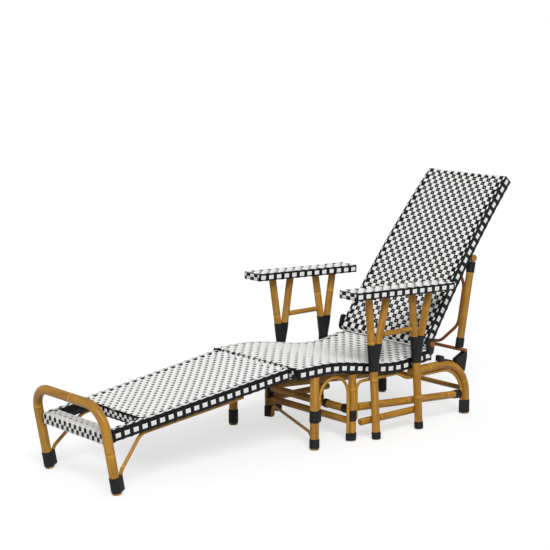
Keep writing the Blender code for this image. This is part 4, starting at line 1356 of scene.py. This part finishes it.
class CHAISE_OT_bindings(bpy.types.Operator):
    """Wind the black bindings round feet, joints and ties"""

    bl_idname = "chaise.bindings"
    bl_label = "Bindings"

    def execute(self, context):
        for side, word in SIDES:
            self.legs(side, word)
            self.arms(side, word)
            self.prop(side, word)
        return {"FINISHED"}

    def legs(self, side, word):
        x = side * LEG_X
        for name, y, low, highs, circles in LEG_BINDINGS:
            wind(f"{name}_{word}", [(x, y, low), (x, y, highs[side < 0])], X_AXIS, circles)
        low, high = span("long_stretcher_" + word)
        front, rear = STRETCHER_Z
        slope = (rear - front) / (high[1] - low[1])
        ends = [high[1] - step for step in STRETCHER_BINDING]
        spots = [(x, y, front + slope * (y - low[1])) for y in ends]
        wind(f"long_stretcher_{word}", spots, X_AXIS, [(0, 0, STRETCHER_R)])
        for name, one, two in CROSS_BINDINGS if side > 0 else ():
            spots = [(one, SECOND_Y, CROSS_Z), (two, SECOND_Y, CROSS_Z)]
            wind(f"{name}_{word}", spots, Z_AXIS, [(0, 0, STRETCHER_R)])
        base, up, _ = arch_frame()
        foot = base + side * ARCH_HALF * X_AXIS
        wind(f"arch_foot_{word}", [foot + up * step for step in ARCH_BINDING], X_AXIS,
             [(0, 0, LEG_R), (0, BESIDE_ARCH, BRACE_R)], "footrest")

    def arms(self, side, word):
        low, high = ARM_BINDING
        for label, y in POSTS:
            foot, top, _, x_at = post_line(y)
            up = unit(top - foot)
            path = mirrored([foot + up * step for step in POST_BINDING], side)
            wind(f"arm_foot_{label}_{word}", path, X_AXIS, [(0, 0, POST_R)])
            front, corner, rear = fork_corners(y)

            def circles(t):
                z = low + (high - low) * t
                level = np.maximum(z, POST_TOP + ARM_LEVEL)
                core = np.where(z < POST_TOP + ARM_SHOULDER, POST_R, ARM_CORE_R)
                rows = [np.stack([side * x_at(np.minimum(z, POST_TOP)), np.zeros_like(z), core], -1)]
                grown = np.clip((z - ARM_SPREAD_FROM) / ARM_SPREAD_OVER, 0, 1)
                spread = ARM_NARROW + (1 - ARM_NARROW) * grown
                for tip in (front, rear):
                    share = (level - corner[2]) / (tip[2] - corner[2])
                    x = side * (corner[0] + share * (tip[0] - corner[0]))
                    rows.append(np.stack([x, share * (tip[1] - corner[1]) * spread,
                                          np.full_like(z, ARM_FORK_R)], -1))
                return np.stack(rows, 1)

            wind(f"arm_{label}_{word}", [(0, y, low), (0, y, high)], X_AXIS, circles)

    def prop(self, side, word):
        top, down, length, _ = prop_frame()
        across = side * X_AXIS
        hang = top + PROP_X * across
        sole = length - PROP_FOOT_R - PROP_BINDING_GAP
        for name, one, two in (("prop_top", ROD_R + PROP_BINDING_GAP, PROP_BINDING_TOP),
                               ("prop_bottom", length - PROP_BINDING_LOW, sole)):
            wind(f"{name}_{word}", [hang + down * one, hang + down * two], X_AXIS, [(0, 0, PROP_R)], "prop")
        back = on_back(0.0, ROD_AT, -1.0) - on_back(0.0, ROD_AT, 0.0)
        wind(f"rod_tie_{word}", [top + x * across for x in ROD_TIE_X], back * side, ROD_TIE, "back")
        hinge = np.array((0, HINGE_Y, HINGE_Z))
        wind(f"hinge_loop_{word}", [hinge + x * across for x in HINGE_LOOP_X], -Z_AXIS * side, HINGE_LOOP,
             replaced=[f"hinge_loop_{word}"])


class CHAISE_OT_racks(bpy.types.Operator):
    """Finish the racks that hold the prop's foot"""

    bl_idname = "chaise.racks"
    bl_label = "Prop racks"

    def execute(self, context):
        finish = binding_finish("rack_bound", list(context.scene.chaise_binding.colour), False)
        for _, word in SIDES:
            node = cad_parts["prop_rest_" + word]
            node.data.materials.clear()
            node.data.materials.append(finish)
        return {"FINISHED"}


class CHAISE_OT_stage(bpy.types.Operator):
    """Set up floor, light and camera"""

    bl_idname = "chaise.stage"
    bl_label = "Studio"

    def execute(self, context):
        stage = context.scene.chaise_stage
        self.floor(context, stage)
        self.light(context, stage)
        self.camera(context, stage)
        context.scene.view_settings.view_transform = "Standard"
        return {"FINISHED"}

    def floor(self, context, stage):
        mesh = bpy.data.meshes.new("floor")
        corners = [(x * FLOOR_REACH, y * FLOOR_REACH, 0) for x, y in ((-1, -1), (1, -1), (1, 1), (-1, 1))]
        mesh.from_pydata(corners, [], [(0, 1, 2, 3)])
        finish, shader, start = new_finish("floor_pale")
        cloud = start.node("ShaderNodeTexCoord", output="Object").noise(FLOOR_SCALE)
        pale = list(stage.floor)
        shown = start.node("ShaderNodeLightPath", output="Is Camera Ray")
        shown = shown + start.node("ShaderNodeLightPath", output="Is Glossy Ray")
        put(shader, Base_Color=cloud.between(shade(pale, FLOOR_CLOUD), shade(pale)), Roughness=FLOOR_ROUGH,
            Specular_IOR_Level=0.0, Emission_Strength=stage.glow, Emission_Color=shown.between(BLACK, WHITE))
        mesh.materials.append(finish)
        floor = bpy.data.objects.new("floor", mesh)
        context.collection.objects.link(floor)

    def light(self, context, stage):
        world = bpy.data.worlds.new("studio")
        context.scene.world = world
        world.use_nodes = True
        shown = Wire(world.node_tree).node("ShaderNodeLightPath", output="Is Camera Ray")
        put(world.node_tree.nodes["Background"], Strength=shown * (1.0 - stage.sky) + stage.sky, Color=WHITE)
        lamp = bpy.data.lights.new("key", "SUN")
        lamp.energy = stage.sun
        lamp.angle = stage.sun_spread
        key = bpy.data.objects.new("key", lamp)
        key.rotation_euler = stage.sun_turn
        context.collection.objects.link(key)

    def camera(self, context, stage):
        lens = bpy.data.cameras.new("photo_view")
        lens.sensor_width = SENSOR
        lens.lens = stage.lens
        lens.clip_end = CLIP_END
        camera = bpy.data.objects.new("photo_view", lens)
        az, el = stage.azimuth, stage.elevation
        out = np.array((math.sin(az) * math.cos(el), -math.cos(az) * math.cos(el), math.sin(el)))
        camera.location = np.array(stage.target) + SHIFT * Y_AXIS + out * stage.distance
        camera.rotation_euler = (math.pi / 2 - el, 0.0, az)
        context.collection.objects.link(camera)
        context.scene.camera = camera


class CHAISE_PT_panel(bpy.types.Panel):
    """Lists the chaise's pieces and their settings"""

    bl_idname = "CHAISE_PT_panel"
    bl_label = "Chaise longue"
    bl_space_type = "VIEW_3D"
    bl_region_type = "UI"
    bl_category = "Chaise"

    def draw(self, context):
        for group in GROUPS:
            settings = getattr(context.scene, group)
            for name in settings.__annotations__:
                self.layout.prop(settings, name)
        for operator in OPERATORS:
            self.layout.operator(operator.bl_idname)


GROUPS = {"chaise_cane": ChaiseCane, "chaise_weave": ChaiseWeave, "chaise_binding": ChaiseBinding,
          "chaise_stage": ChaiseStage}
OPERATORS = (CHAISE_OT_canes, CHAISE_OT_seat, CHAISE_OT_footrest, CHAISE_OT_back, CHAISE_OT_arms,
             CHAISE_OT_bindings, CHAISE_OT_racks, CHAISE_OT_stage)


def register():
    for item in (*GROUPS.values(), *OPERATORS, CHAISE_PT_panel):
        bpy.utils.register_class(item)
    for name, group in GROUPS.items():
        setattr(bpy.types.Scene, name, bpy.props.PointerProperty(type=group))


def unregister():
    for name in GROUPS:
        delattr(bpy.types.Scene, name)
    for item in reversed((*GROUPS.values(), *OPERATORS, CHAISE_PT_panel)):
        bpy.utils.unregister_class(item)


def main():
    register()
    for operator in OPERATORS:
        group, name = operator.bl_idname.split(".")
        getattr(getattr(bpy.ops, group), name)()


if __name__ == "__main__":
    main()
